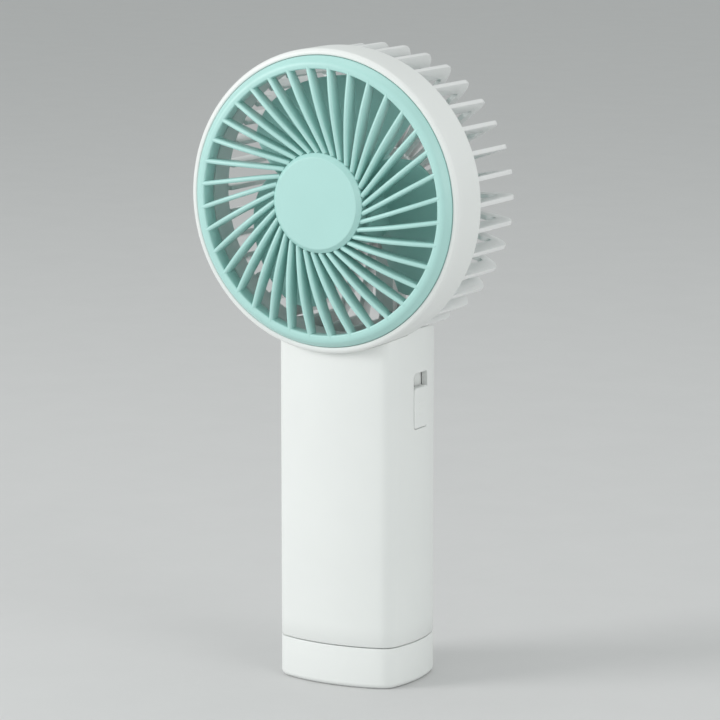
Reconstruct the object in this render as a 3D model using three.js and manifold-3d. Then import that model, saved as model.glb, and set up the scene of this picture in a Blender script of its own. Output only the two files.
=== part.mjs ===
// Handheld electric fan: a white handle with a slide switch on its side carries a round head with a mint
// front grille, a three-blade impeller on a brushless motor, and a rear cage of L-shaped ribs.
// Millimetres, +Z up. The origin is the centre of the base's flat underside. The fan blows towards -Y and
// the switch is on the +X side.
import * as THREE from 'three';
import { mergeVertices } from 'three/addons/utils/BufferGeometryUtils.js';
import Module from 'manifold-3d';

const wasm = await Module();
wasm.setup();

// ---------- driving dimensions ----------

const GAP = 0.3;
const TOTAL_HEIGHT = 200;
const HEAD_RADIUS = 47;
const HEAD_AXIS_Z = TOTAL_HEIGHT - HEAD_RADIUS;
const RING_SEGMENTS = 60;
const ARC_SEGMENTS = 3;

// handle
const HANDLE_HALF_WIDTH = 22.3;
const HANDLE_HALF_DEPTH = 18.8;
const FRONT_FACE_RADIUS = 51.3;
const SIDE_FACE_RADIUS = 43.8;
const CORNER_RADIUS = 6;
const HANDLE_WALL = 2;
const ROOF_THICKNESS = 2.3;
const SEAM_Z = 13;
const BASE_FLOOR = 3.2;
const BASE_FILLET = 1.75;
const LIP_INSET = 3.6;
const LIP_TOP_Z = 15.2;
const LIP_FOOT_Z = 10.5;

// head, measured along the head axis (Y) and outward from it
const DRUM_FRONT_Y = -22;
const DRUM_BACK_Y = -7.2;
const DRUM_BORE = 45;
const COLLAR_BORE = 43.8;
const COLLAR_BACK_Y = -13.4;
const GRILLE_SEAT_Y = -19.8;
const GROOVE_FRONT_Y = -17.9;
const GROOVE_BACK_Y = -15.4;
const GROOVE_RADIUS = 44.6;

// front grille
const RING_OUTER = DRUM_BORE - GAP;
const RING_INNER = 40.9;
const RING_CREST_Y = -24.5;
const SPOKE_COUNT = 36;
const SPOKE_FIRST_DEG = 5.2;
const SPOKE_LEAN = 585;
const SPOKE_THICKNESS = 1.35;
const SPOKE_HUB_Y = -24.9;
const SPOKE_RING_Y = -24.6;
const SPOKE_BULGE = 1.4;
const SPOKE_BACK_Y = -20.8;
const CENTRE_RADIUS = 16.6;
const CENTRE_FRONT_Y = -24.2;
const CENTRE_BACK_Y = -20.6;
const BADGE_RADIUS = 15.4;
const BADGE_FACE_RADIUS = 14.1;
const BADGE_FRONT_Y = -26.3;
const BADGE_BACK_Y = -24.5;
const LUG_COUNT = 3;
const LUG_WIDTH_DEG = 10;
const LUG_FIRST_DEG = 30;
const UNLOCK_DEG = 20;

// rear cage
const RIB_COUNT = 36;
const RIB_THICKNESS = 1.5;
const RIB_OUTER = 45.3;
const RIB_INNER = 40.8;
const RIB_BEND_RADIUS = 4;
const CAGE_RING_OUTER = DRUM_BORE - GAP;
const CAGE_RING_INNER = CAGE_RING_OUTER - 1.2;
const CAGE_RING_BACK_Y = -9.6;
const CAGE_BACK_Y = 18.6;
const REAR_LEG_DEPTH = 4.5;
const HUB_PLATE_RADIUS = 14.6;
const HUB_PLATE_FRONT_Y = 13.5;
const HUB_PLATE_BACK_Y = 16.2;

// impeller
const BLADE_COUNT = 3;
const BLADE_TIP = 37.6;
const BLADE_LEAD_DEG = 53;
const BLADE_LEAD_Y = 3.2;
const BLADE_TRAIL_Y = -16.6;
const BLADE_THICKNESS = 1.2;
const HUB_OUTER = 15.5;
const HUB_INNER = 14.3;
const HUB_FRONT_Y = -18.2;
const HUB_BACK_Y = 3.8;

// motor
const SHAFT_RADIUS = 1;
const SHAFT_BORE = SHAFT_RADIUS + GAP;
const SHAFT_FRONT_Y = -19.2;
const SHAFT_BACK_Y = 10.2;
const TUBE_OUTER = 4.2;
const TUBE_INNER = 3.2;
const TUBE_FRONT_Y = -9.3;
const FLANGE_FRONT_Y = 10.6;
const FLANGE_BACK_Y = HUB_PLATE_FRONT_Y - GAP;
const CAN_OUTER = HUB_INNER - GAP;
const CAN_WALL = 0.8;
const CAN_FRONT_Y = -14.2;
const CAN_BACK_Y = 3;
const STATOR_OUTER = 11;
const STATOR_FRONT_Y = -8;
const STATOR_BACK_Y = 0;
const TOOTH_COUNT = 6;
const TOOTH_HALF_WIDTH = 1.1;
const MOTOR_SCREW_CIRCLE = 6.2;

// batteries and electronics
const CELL_RADIUS = 9;
const CELL_X = 9.3;
const CELL_Y = -5.6;
const CELL_BOTTOM_Z = 15.5;
const CELL_TOP_Z = CELL_BOTTOM_Z + 65;
const BOARD_FRONT_Y = 7.6;
const BOARD_BACK_Y = 8.8;
const BOARD_HALF_WIDTH = 14;
const BOARD_BOTTOM_Z = 18;
const BOARD_TOP_Z = 74;
const BOARD_SCREW_X = 12;
const BOARD_SCREW_Z = 64;
const BASE_SCREW_X = 9.5;
const BASE_SCREW_Y = 9.5;
const PORT_Z = 24;
const LED_Z = 36;
const WIRE_RADIUS = 0.55;
const WIRE_XS = [1.9, 3.5, 5.1];
const WIRE_Y = 12.4;
const BATTERY_LEAD_X = 6.8;

// slide switch
const SLOT_MIN_Y = -3.8;
const SLOT_MAX_Y = 5.6;
const SLOT_MIN_Z = 80.8;
const SLOT_MAX_Z = 98.4;
const SWITCH_Y = (SLOT_MIN_Y + SLOT_MAX_Y) / 2;
const KNOB_TOP_Z = 94;
const TROUGH_RADIUS = 12;
const TROUGH_FLOOR_X = 19.3;
const NECK_SCREW_X = 10;
const NECK_SCREW_Y = -13;

// ---------- solids ----------

/** Turns a three.js geometry into a solid: shared vertices joined, flat triangles dropped, faces out. */
function solid(geometry) {
  const bare = geometry.clone();
  bare.deleteAttribute('normal');
  bare.deleteAttribute('uv');
  const merged = mergeVertices(bare, 1e-4);
  const points = merged.attributes.position.array;
  const corners = merged.index.array;
  const triangles = [];
  let volume = 0;
  for (let i = 0; i < corners.length; i += 3) {
    const [a, b, c] = corners.slice(i, i + 3);
    if (a !== b && b !== c && c !== a) {
      triangles.push([a, b, c]);
      const pa = new THREE.Vector3().fromArray(points, 3 * a);
      const pb = new THREE.Vector3().fromArray(points, 3 * b);
      const pc = new THREE.Vector3().fromArray(points, 3 * c);
      volume += pa.dot(pb.cross(pc));
    }
  }
  if (volume < 0) {
    triangles.forEach((triangle) => triangle.reverse());
  }
  const triVerts = new Uint32Array(triangles.flat());
  const vertProperties = new Float32Array(points);
  return new wasm.Manifold(new wasm.Mesh({ numProp: 3, vertProperties, triVerts }));
}

/** A box between two corners. */
function box(x0, x1, y0, y1, z0, z1) {
  const geometry = new THREE.BoxGeometry(x1 - x0, y1 - y0, z1 - z0);
  geometry.translate((x0 + x1) / 2, (y0 + y1) / 2, (z0 + z1) / 2);
  return solid(geometry);
}

/** An outline given a thickness along Z, with sharp edges. */
function extruded(shape, depth) {
  return new THREE.ExtrudeGeometry(shape, { depth, bevelEnabled: false, curveSegments: ARC_SEGMENTS });
}

/** Extrudes an XY outline from one height to another. */
function prismZ(shape, z0, z1) {
  const geometry = extruded(shape, z1 - z0);
  geometry.translate(0, 0, z0);
  return solid(geometry);
}

/** Extrudes an outline drawn in X (right) and Z (up) along Y. */
function prismY(shape, y0, y1) {
  const geometry = extruded(shape, y1 - y0);
  geometry.rotateX(Math.PI / 2);
  geometry.translate(0, y1, 0);
  return solid(geometry);
}

/** Extrudes an outline drawn in Y (right) and Z (up) along X. */
function prismX(shape, x0, x1) {
  const geometry = extruded(shape, x1 - x0);
  geometry.rotateX(Math.PI / 2);
  geometry.rotateZ(Math.PI / 2);
  geometry.translate(x0, 0, 0);
  return solid(geometry);
}

/** Revolves a closed [radius, y] outline round the Y axis. */
function turned(outline, segments = RING_SEGMENTS) {
  const points = outline.map(([radius, y]) => new THREE.Vector2(radius, y));
  const onAxis = outline[0][0] === 0;
  if (!onAxis) {
    points.push(points[0].clone());
  }
  return solid(new THREE.LatheGeometry(points, segments));
}

/** A disc or pin along Y. */
function rodY(radius, x, z, y0, y1, segments = 12) {
  const geometry = new THREE.CylinderGeometry(radius, radius, y1 - y0, segments);
  geometry.translate(x, (y0 + y1) / 2, z);
  return solid(geometry);
}

/** A disc or pin along Z. */
function rodZ(radius, x, y, z0, z1, segments = 12) {
  const geometry = new THREE.CylinderGeometry(radius, radius, z1 - z0, segments);
  geometry.rotateX(Math.PI / 2);
  geometry.translate(x, y, (z0 + z1) / 2);
  return solid(geometry);
}

/** A rectangle with round corners, centred on a point. */
function roundedRectangle(width, height, radius, centreX = 0, centreY = 0) {
  const x = centreX - width / 2;
  const y = centreY - height / 2;
  const shape = new THREE.Shape();
  shape.moveTo(x + radius, y);
  shape.lineTo(x + width - radius, y);
  shape.absarc(x + width - radius, y + radius, radius, -Math.PI / 2, 0, false);
  shape.lineTo(x + width, y + height - radius);
  shape.absarc(x + width - radius, y + height - radius, radius, 0, Math.PI / 2, false);
  shape.lineTo(x + radius, y + height);
  shape.absarc(x + radius, y + height - radius, radius, Math.PI / 2, Math.PI, false);
  shape.lineTo(x, y + radius);
  shape.absarc(x + radius, y + radius, radius, Math.PI, 1.5 * Math.PI, false);
  return shape;
}

/** A slice of a flat ring, between two radii and two angles in degrees. */
function ringSlice(inner, outer, fromDeg, toDeg) {
  const from = THREE.MathUtils.degToRad(fromDeg);
  const to = THREE.MathUtils.degToRad(toDeg);
  const shape = new THREE.Shape();
  shape.absarc(0, 0, outer, from, to, false);
  shape.absarc(0, 0, inner, to, from, true);
  return shape;
}

/** A point at a radius and an angle in degrees. */
function polar(radius, degrees) {
  const angle = THREE.MathUtils.degToRad(degrees);
  return new THREE.Vector2(radius * Math.cos(angle), radius * Math.sin(angle));
}

/** The handle's outline moved inward: four gently bulged faces joined by round corners. */
function handleOutline(inset) {
  const faceCentre = new THREE.Vector2(0, HANDLE_HALF_DEPTH - FRONT_FACE_RADIUS);
  const sideCentre = new THREE.Vector2(HANDLE_HALF_WIDTH - SIDE_FACE_RADIUS, 0);
  const faceReach = FRONT_FACE_RADIUS - CORNER_RADIUS;
  const sideReach = SIDE_FACE_RADIUS - CORNER_RADIUS;
  const apart = faceCentre.distanceTo(sideCentre);
  const along = (faceReach ** 2 - sideReach ** 2 + apart ** 2) / (2 * apart);
  const across = Math.sqrt(faceReach ** 2 - along ** 2);
  const direction = sideCentre.clone().sub(faceCentre).divideScalar(apart);
  const corner = faceCentre.clone().addScaledVector(direction, along);
  corner.x += direction.y * across;
  corner.y -= direction.x * across;
  const faceAngle = Math.atan2(corner.y - faceCentre.y, corner.x - faceCentre.x);
  const sideAngle = Math.atan2(corner.y, corner.x - sideCentre.x);
  const quarter = [];
  const arc = (centre, radius, from, to, steps) => {
    for (let i = 0; i < steps; i += 1) {
      const angle = from + ((to - from) * i) / steps;
      quarter.push([centre.x + radius * Math.cos(angle), centre.y + radius * Math.sin(angle)]);
    }
  };
  arc(sideCentre, SIDE_FACE_RADIUS - inset, 0, sideAngle, 2);
  arc(corner, CORNER_RADIUS - inset, sideAngle, faceAngle, 3);
  arc(faceCentre, FRONT_FACE_RADIUS - inset, faceAngle, Math.PI / 2, 2);
  const top = [0, HANDLE_HALF_DEPTH - inset];
  const half = [...quarter, top, ...quarter.slice(1).reverse().map(([x, y]) => [-x, y])];
  const outline = [...half, ...half.map(([x, y]) => [-x, -y])];
  return new THREE.Shape(outline.map(([x, y]) => new THREE.Vector2(x, y)));
}

/** A round wire through a list of points, with its bends rounded. */
function wire(points, steps) {
  const stops = points.map((p) => new THREE.Vector3(...p));
  const route = new THREE.CatmullRomCurve3(stops, false, 'centripetal');
  const section = new THREE.Shape(Array.from({ length: 6 }, (_, i) => polar(WIRE_RADIUS, 60 * i)));
  return solid(new THREE.ExtrudeGeometry(section, { steps, bevelEnabled: false, extrudePath: route }));
}

/** A closed skin over rows of corner points, each row going round the body once. */
function loft(sections) {
  const sides = sections[0].length;
  const faces = [];
  for (let i = 0; i + 1 < sections.length; i += 1) {
    for (let j = 0; j < sides; j += 1) {
      const a = i * sides + j;
      const b = i * sides + ((j + 1) % sides);
      faces.push(a, b, b + sides, a, b + sides, a + sides);
    }
  }
  const last = (sections.length - 1) * sides;
  for (let j = 1; j + 1 < sides; j += 1) {
    faces.push(0, j + 1, j, last, last + j, last + j + 1);
  }
  const geometry = new THREE.BufferGeometry();
  geometry.setAttribute('position', new THREE.Float32BufferAttribute(sections.flat(2), 3));
  geometry.setIndex(faces);
  return solid(geometry);
}

// ---------- meshes ----------

const FINISHES = {
  white_plastic: [0xe6e8e7, 0.42, 0],
  mint_plastic: [0xa9dad3, 0.4, 0],
  black_plastic: [0x1c1d1f, 0.6, 0],
  grey_plastic: [0x9a9fa2, 0.6, 0],
  steel: [0xb9bcc0, 0.3, 1],
  magnet: [0x4a4b4e, 0.6, 0.6],
  copper: [0xb5652b, 0.4, 1],
  nickel: [0xc9c6bd, 0.35, 1],
  aluminium: [0xc2c5c8, 0.4, 1],
  cell_wrap: [0x2f6fb0, 0.5, 0],
  green_board: [0x1f5d3b, 0.55, 0],
  ferrite: [0x3b3b3d, 0.75, 0],
  clear_plastic: [0xe9eef0, 0.15, 0],
  red_wire: [0xb3262a, 0.5, 0],
  black_wire: [0x1a1a1c, 0.5, 0],
  white_wire: [0xd8dad6, 0.5, 0],
};

/** A named mesh of a solid, in one of the finishes. */
function piece(name, body, finish) {
  const { vertProperties, triVerts } = body.getMesh();
  const geometry = new THREE.BufferGeometry();
  geometry.setAttribute('position', new THREE.BufferAttribute(new Float32Array(vertProperties), 3));
  geometry.setIndex(Array.from(triVerts));
  geometry.computeVertexNormals();
  const [color, roughness, metalness] = FINISHES[finish];
  const mesh = new THREE.Mesh(geometry, new THREE.MeshStandardMaterial({ color, roughness, metalness }));
  mesh.name = name;
  return mesh;
}

// ---------- handle ----------

/** The stadium-shaped opening for the switch, through the +X wall. */
function slotCutter(clearance, x0, x1) {
  const width = SLOT_MAX_Y - SLOT_MIN_Y + 2 * clearance;
  const height = SLOT_MAX_Z - SLOT_MIN_Z + 2 * clearance;
  return prismX(roundedRectangle(width, height, 1.3, SWITCH_Y, (SLOT_MIN_Z + SLOT_MAX_Z) / 2), x0, x1);
}

/** The head's seat in the handle's top: deep under the drum, higher behind it, under the ribs. */
function headSeat(extra) {
  const drumSeat = HEAD_RADIUS + GAP + extra;
  const ribSeat = RIB_OUTER + GAP + extra;
  const seatStep = DRUM_BACK_Y + GAP;
  const front = turned([[0, -30], [drumSeat, -30], [drumSeat, seatStep + extra], [0, seatStep + extra]]);
  const back = turned([[0, seatStep], [ribSeat, seatStep], [ribSeat, 30], [0, 30]]);
  return front.add(back).translate([0, 0, HEAD_AXIS_Z]);
}

function handleShell() {
  const top = 115;
  const hollow = prismZ(handleOutline(HANDLE_WALL), SEAM_Z, top).subtract(headSeat(ROOF_THICKNESS));
  let shell = prismZ(handleOutline(0), SEAM_Z + GAP, top);
  shell = shell.subtract(headSeat(0)).subtract(hollow);
  shell = shell.subtract(slotCutter(0, 15, 25));
  shell = shell.subtract(prismY(roundedRectangle(9.8, 4.2, 1.9, 0, PORT_Z), 14, 20));
  shell = shell.subtract(rodY(1.5, 0, LED_Z, 14, 20));
  shell = shell.subtract(box(0.5, 6.5, 9.6, 15.4, 100, 112));
  for (const side of [-1, 1]) {
    shell = shell.subtract(rodZ(1.25, side * NECK_SCREW_X, NECK_SCREW_Y, 100, 110));
  }
  return shell;
}

function baseCap() {
  const outline = handleOutline(0);
  const block = new THREE.ExtrudeGeometry(outline, {
    depth: 30 - 2 * BASE_FILLET,
    bevelThickness: BASE_FILLET,
    bevelSize: BASE_FILLET,
    bevelOffset: -BASE_FILLET,
    bevelSegments: 2,
  });
  block.translate(0, 0, BASE_FILLET);
  let cap = solid(block).subtract(box(-40, 40, -40, 40, SEAM_Z, 40));
  cap = cap.subtract(prismZ(handleOutline(HANDLE_WALL), BASE_FLOOR, SEAM_Z + 1));
  const lip = prismZ(handleOutline(HANDLE_WALL + GAP), SEAM_Z - 1, LIP_TOP_Z);
  const foot = prismZ(handleOutline(HANDLE_WALL - 0.5), LIP_FOOT_Z, SEAM_Z);
  cap = cap.add(lip.add(foot).subtract(prismZ(handleOutline(LIP_INSET), LIP_FOOT_Z - 1, LIP_TOP_Z + 1)));
  for (const side of [-1, 1]) {
    cap = cap.subtract(rodZ(2.5, side * BASE_SCREW_X, BASE_SCREW_Y, -1, 1.8));
    cap = cap.subtract(rodZ(1.25, side * BASE_SCREW_X, BASE_SCREW_Y, 1, BASE_FLOOR + 1));
  }
  return cap;
}

/** A pan-head screw pointing up, its head's underside at headTop. */
function screwUp(x, y, headBottom, headTop, tip) {
  return rodZ(2.1, x, y, headBottom, headTop, 14).add(rodZ(0.9, x, y, headTop - 0.2, tip, 10));
}

/** A pan-head screw along Y, its tip towards -Y. */
function screwAlongY(x, z, tip, headFront, headBack) {
  return rodY(1.9, x, z, headFront, headBack, 14).add(rodY(0.85, x, z, tip, headFront + 0.2, 10));
}

function innerFrame() {
  let frame = box(-15.5, 15.5, 4.4, 6.2, 12.2, 98);
  frame = frame.subtract(box(8.8, 16, 4, 7, 83, 99));
  frame = frame.add(box(-16, 16, -11.5, 11.5, 12.2, 14.2));
  frame = frame.add(box(-14.5, 14.5, -13, 6, 81.6, 83.2));
  frame = frame.add(box(-13.5, 13.5, 6, BOARD_FRONT_Y - GAP, 19, 21));
  for (const side of [-1, 1]) {
    frame = frame.add(rodZ(2.6, side * BASE_SCREW_X, BASE_SCREW_Y, BASE_FLOOR + GAP, 13));
    frame = frame.subtract(rodZ(1.2, side * BASE_SCREW_X, BASE_SCREW_Y, 1, 9.5));
    frame = frame.add(rodY(2.2, side * BOARD_SCREW_X, BOARD_SCREW_Z, 6, BOARD_FRONT_Y - GAP));
    frame = frame.subtract(rodY(1.15, side * BOARD_SCREW_X, BOARD_SCREW_Z, 4, 9));
    frame = frame.subtract(rodZ(1.5, side * BATTERY_LEAD_X, CELL_Y, 80, 85));
    frame = frame.subtract(rodY(1.7, side * BATTERY_LEAD_X, 87.4, 4, 7));
  }
  return frame;
}

/** The plate behind the switch opening, with a shallow trough and the slit that the switch stem runs in. */
function switchTrack() {
  const plate = box(18.5, 20, SLOT_MIN_Y - 2, SLOT_MAX_Y + 2, SLOT_MIN_Z - 1.6, SLOT_MAX_Z + 1.8);
  const trough = rodZ(TROUGH_RADIUS, TROUGH_FLOOR_X + TROUGH_RADIUS, SWITCH_Y, SLOT_MIN_Z, SLOT_MAX_Z, 48);
  const slit = prismX(roundedRectangle(2.2, 12.6, 0.9, SWITCH_Y, 91), 15, 25);
  const fitted = plate.intersect(prismZ(handleOutline(HANDLE_WALL + GAP), 70, 110));
  return fitted.subtract(trough).subtract(slit);
}

/** The thumb piece: flush with the handle's side, with a pocket behind for the switch stem. */
function switchKnob() {
  const width = SLOT_MAX_Y - SLOT_MIN_Y - 2 * GAP;
  const bottom = SLOT_MIN_Z + GAP;
  const height = KNOB_TOP_Z - bottom;
  const face = prismX(roundedRectangle(width, height, 1.1, SWITCH_Y, bottom + height / 2), 20.4, 25);
  const domed = face.intersect(prismZ(handleOutline(-0.35), 70, 110));
  const grip = prismX(roundedRectangle(4.6, 0.9, 0.4, SWITCH_Y, 87.5), 22, 23);
  const ridges = grip.add(grip.translate([0, 0, 1.8])).add(grip.translate([0, 0, -1.8]));
  const pocket = box(19, 21.6, SWITCH_Y - 1.2, SWITCH_Y + 1.2, 85.7, 89.3);
  return domed.add(ridges).subtract(pocket);
}

function switchBody() {
  const block = box(13.3, 17.2, SWITCH_Y - 3.5, SWITCH_Y + 3.5, 83.9, 95.9);
  const cavity = box(14.2, 16.3, SWITCH_Y - 2.6, SWITCH_Y + 2.6, 84.8, 95);
  const slot = box(16, 18, SWITCH_Y - 1.2, SWITCH_Y + 1.2, 85.4, 94.4);
  return block.subtract(cavity).subtract(slot);
}

function switchActuator() {
  const slide = box(14.5, 16, SWITCH_Y - 2.3, SWITCH_Y + 2.3, 85.6, 89.4);
  return slide.add(box(15.8, 21.3, SWITCH_Y - 0.8, SWITCH_Y + 0.8, 86, 89));
}

function mainBoard() {
  const half = BOARD_HALF_WIDTH;
  let board = box(-half, half, BOARD_FRONT_Y, BOARD_BACK_Y, BOARD_BOTTOM_Z, BOARD_TOP_Z);
  for (const side of [-1, 1]) {
    board = board.subtract(rodY(1.15, side * BOARD_SCREW_X, BOARD_SCREW_Z, 7, 10));
  }
  return board;
}

function usbShell() {
  const outer = prismY(roundedRectangle(9, 3.3, 1.6, 0, PORT_Z), 10.4, 18.2);
  const bore = prismY(roundedRectangle(8.4, 2.7, 1.3, 0, PORT_Z), 10.8, 19);
  const feet = box(-4.4, -3.6, BOARD_BACK_Y + GAP, 11, PORT_Z - 0.6, PORT_Z + 0.6);
  return outer.subtract(bore).add(feet).add(feet.translate([8, 0, 0]));
}

function usbTongue() {
  const block = box(-3.6, 3.6, 11.1, 12.4, PORT_Z - 1, PORT_Z + 1);
  return block.add(box(-3.3, 3.3, 12, 17.4, PORT_Z - 0.35, PORT_Z + 0.35));
}

/** A motor lead: up from the board, through the handle's roof, up the cage, forward to the motor board. */
function motorLead(x) {
  const boardY = BOARD_BACK_Y + GAP + WIRE_RADIUS;
  const end = HEAD_AXIS_Z - 12.4;
  return wire([[x, boardY, 71], [x, boardY, 76], [x, WIRE_Y, 84], [x, WIRE_Y, 100], [x, WIRE_Y, end - 6],
    [x, 11.6, end - 2.4], [x, 9.7, end]], 20);
}

/** A battery lead: up from the cell's strap, back over the frame and down to the board. */
function batteryLead(side) {
  const x = side * BATTERY_LEAD_X;
  return wire([[x, CELL_Y, 81.4], [x, CELL_Y, 84.5], [x, -2.5, 87], [x, 7.5, 87], [x, 10, 84],
    [x, 10, 78], [x, 9.8, 70]], 16);
}

function handleParts() {
  const group = new THREE.Group();
  const cell = (x) => rodZ(CELL_RADIUS, x, CELL_Y, CELL_BOTTOM_Z, CELL_TOP_Z, 28);
  const strap = (x0, x1, z) => box(x0, x1, CELL_Y - 3, CELL_Y + 3, z, z + 0.3);
  const boardY = BOARD_BACK_Y + GAP;
  group.add(
    piece('handle_shell', handleShell(), 'white_plastic'),
    piece('base_cap', baseCap(), 'white_plastic'),
    piece('inner_frame', innerFrame(), 'grey_plastic'),
    piece('battery_cell_left', cell(-CELL_X), 'cell_wrap'),
    piece('battery_cell_right', cell(CELL_X), 'cell_wrap'),
    piece('battery_strap_bottom', strap(-13, 13, CELL_BOTTOM_Z - 0.7), 'nickel'),
    piece('battery_strap_left', strap(-13, -5.4, CELL_TOP_Z + GAP), 'nickel'),
    piece('battery_strap_right', strap(5.4, 13, CELL_TOP_Z + GAP), 'nickel'),
    piece('main_board', mainBoard(), 'green_board'),
    piece('usb_port_shell', usbShell(), 'steel'),
    piece('usb_port_tongue', usbTongue(), 'black_plastic'),
    piece('motor_driver_chip', box(-3.5, 1.5, boardY, boardY + 1, 54, 59), 'black_plastic'),
    piece('charger_chip', box(5, 9, boardY, boardY + 1, 30, 34), 'black_plastic'),
    piece('boost_inductor', prismY(roundedRectangle(6.4, 6.4, 1.2, -8, 44), boardY, boardY + 3), 'ferrite'),
    piece('charge_led', box(-0.8, 0.8, boardY, boardY + 0.8, LED_Z - 0.8, LED_Z + 0.8), 'clear_plastic'),
    piece('led_light_pipe', rodY(1.2, 0, LED_Z, boardY + 1.2, 18.6, 16), 'clear_plastic'),
    piece('switch_track', switchTrack(), 'white_plastic'),
    piece('slide_switch_body', switchBody(), 'steel'),
    piece('switch_board', box(11.8, 13, -6, 8, 83.6, 98), 'green_board'),
    piece('switch_ribbon', box(10.8, 13.8, 6.7, 7.1, 70, 83.3), 'grey_plastic'),
    piece('switch_knob', switchKnob(), 'white_plastic'),
    piece('switch_actuator', switchActuator(), 'black_plastic'),
    piece('battery_lead_red', batteryLead(1), 'red_wire'),
    piece('battery_lead_black', batteryLead(-1), 'black_wire'),
  );
  for (const [name, side] of [['left', -1], ['right', 1]]) {
    const base = screwUp(side * BASE_SCREW_X, BASE_SCREW_Y, 0.4, 1.5, 9);
    const neck = screwUp(side * NECK_SCREW_X, NECK_SCREW_Y, 101.6, 102.9, HEAD_AXIS_Z - 43.9);
    const board = screwAlongY(side * BOARD_SCREW_X, BOARD_SCREW_Z, 4.6, boardY, boardY + 1);
    group.add(piece(`base_screw_${name}`, base, 'steel'));
    group.add(piece(`neck_screw_${name}`, neck, 'steel'));
    group.add(piece(`board_screw_${name}`, board, 'steel'));
  }
  WIRE_XS.forEach((x, i) => {
    group.add(piece(`motor_lead_${i + 1}`, motorLead(x), 'white_wire'));
  });
  return group;
}

// ---------- head ----------

function drumShell() {
  let drum = turned([
    [DRUM_BORE, DRUM_FRONT_Y + 0.7], [DRUM_BORE + 0.6, DRUM_FRONT_Y],
    [HEAD_RADIUS - 0.8, DRUM_FRONT_Y + 0.5], [HEAD_RADIUS, DRUM_FRONT_Y + 2],
    [HEAD_RADIUS, DRUM_BACK_Y], [DRUM_BORE, DRUM_BACK_Y],
    [DRUM_BORE, COLLAR_BACK_Y], [COLLAR_BORE, COLLAR_BACK_Y],
    [COLLAR_BORE, GROOVE_BACK_Y], [GROOVE_RADIUS, GROOVE_BACK_Y],
    [GROOVE_RADIUS, GROOVE_FRONT_Y], [COLLAR_BORE, GROOVE_FRONT_Y],
    [COLLAR_BORE, GRILLE_SEAT_Y], [DRUM_BORE, GRILLE_SEAT_Y],
  ]);
  for (let i = 0; i < LUG_COUNT; i += 1) {
    const middle = LUG_FIRST_DEG + UNLOCK_DEG + (360 / LUG_COUNT) * i;
    const half = LUG_WIDTH_DEG / 2 + 2;
    const notch = ringSlice(COLLAR_BORE - 1, GROOVE_RADIUS, middle - half, middle + half);
    drum = drum.subtract(prismY(notch, GRILLE_SEAT_Y - 0.5, GROOVE_FRONT_Y + 0.5));
  }
  for (const side of [-1, 1]) {
    drum = drum.subtract(rodZ(1.25, side * NECK_SCREW_X, NECK_SCREW_Y, -50, -43.5));
  }
  return drum;
}

/** Where a spoke lies, in degrees: nearly a straight line that passes beside the centre. */
function spokeAngle(radius) {
  return SPOKE_LEAN * (1 / RING_INNER - 1 / radius);
}

/** One spoke: a deep bar with a flat back, whose front edge bulges forward on its way to the ring. */
function spoke() {
  const sections = [16.2, 18.5, 22.5, 28, 34, RING_INNER + 0.8].map((radius) => {
    const here = polar(radius, spokeAngle(radius));
    const ahead = polar(radius + 0.1, spokeAngle(radius + 0.1));
    const across = ahead.sub(here).normalize().rotateAround(new THREE.Vector2(), Math.PI / 2);
    const left = here.clone().addScaledVector(across, SPOKE_THICKNESS / 2);
    const right = here.clone().addScaledVector(across, -SPOKE_THICKNESS / 2);
    const along = Math.min(1, Math.max(0, (radius - BADGE_RADIUS) / (RING_INNER - BADGE_RADIUS)));
    const bulge = SPOKE_BULGE * Math.sin(Math.PI * along);
    const front = THREE.MathUtils.lerp(SPOKE_HUB_Y, SPOKE_RING_Y, along) - bulge;
    return [[left.x, front, left.y], [right.x, front, right.y],
      [right.x, SPOKE_BACK_Y, right.y], [left.x, SPOKE_BACK_Y, left.y]];
  });
  return loft(sections);
}

function frontGrille() {
  const skirtOuter = COLLAR_BORE - GAP;
  const skirtInner = skirtOuter - 1.2;
  const seat = GRILLE_SEAT_Y - GAP;
  const skirtBack = GROOVE_BACK_Y - 0.5;
  let grille = turned([
    [RING_INNER, RING_CREST_Y + 0.8], [RING_INNER + 1, RING_CREST_Y], [RING_OUTER - 1.3, RING_CREST_Y],
    [RING_OUTER, RING_CREST_Y + 1.2], [RING_OUTER, seat], [skirtOuter, seat], [skirtOuter, skirtBack],
    [skirtInner, skirtBack], [skirtInner, seat], [RING_INNER, seat],
  ]);
  grille = grille.add(turned([[0, CENTRE_FRONT_Y], [CENTRE_RADIUS, CENTRE_FRONT_Y],
    [CENTRE_RADIUS, CENTRE_BACK_Y], [0, CENTRE_BACK_Y]], 48));
  const bar = spoke();
  for (let i = 0; i < SPOKE_COUNT; i += 1) {
    grille = grille.add(bar.rotate([0, -(SPOKE_FIRST_DEG + (360 / SPOKE_COUNT) * i), 0]));
  }
  for (let i = 0; i < LUG_COUNT; i += 1) {
    const middle = LUG_FIRST_DEG + (360 / LUG_COUNT) * i;
    const half = LUG_WIDTH_DEG / 2;
    const lug = ringSlice(skirtOuter - 0.6, GROOVE_RADIUS - GAP, middle - half, middle + half);
    grille = grille.add(prismY(lug, GROOVE_FRONT_Y + 0.4, skirtBack));
  }
  return grille;
}

function grilleBadge() {
  return turned([[0, BADGE_FRONT_Y], [BADGE_FACE_RADIUS, BADGE_FRONT_Y],
    [BADGE_RADIUS - 0.3, BADGE_BACK_Y - 0.5], [BADGE_RADIUS, BADGE_BACK_Y], [0, BADGE_BACK_Y]], 48);
}

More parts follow.
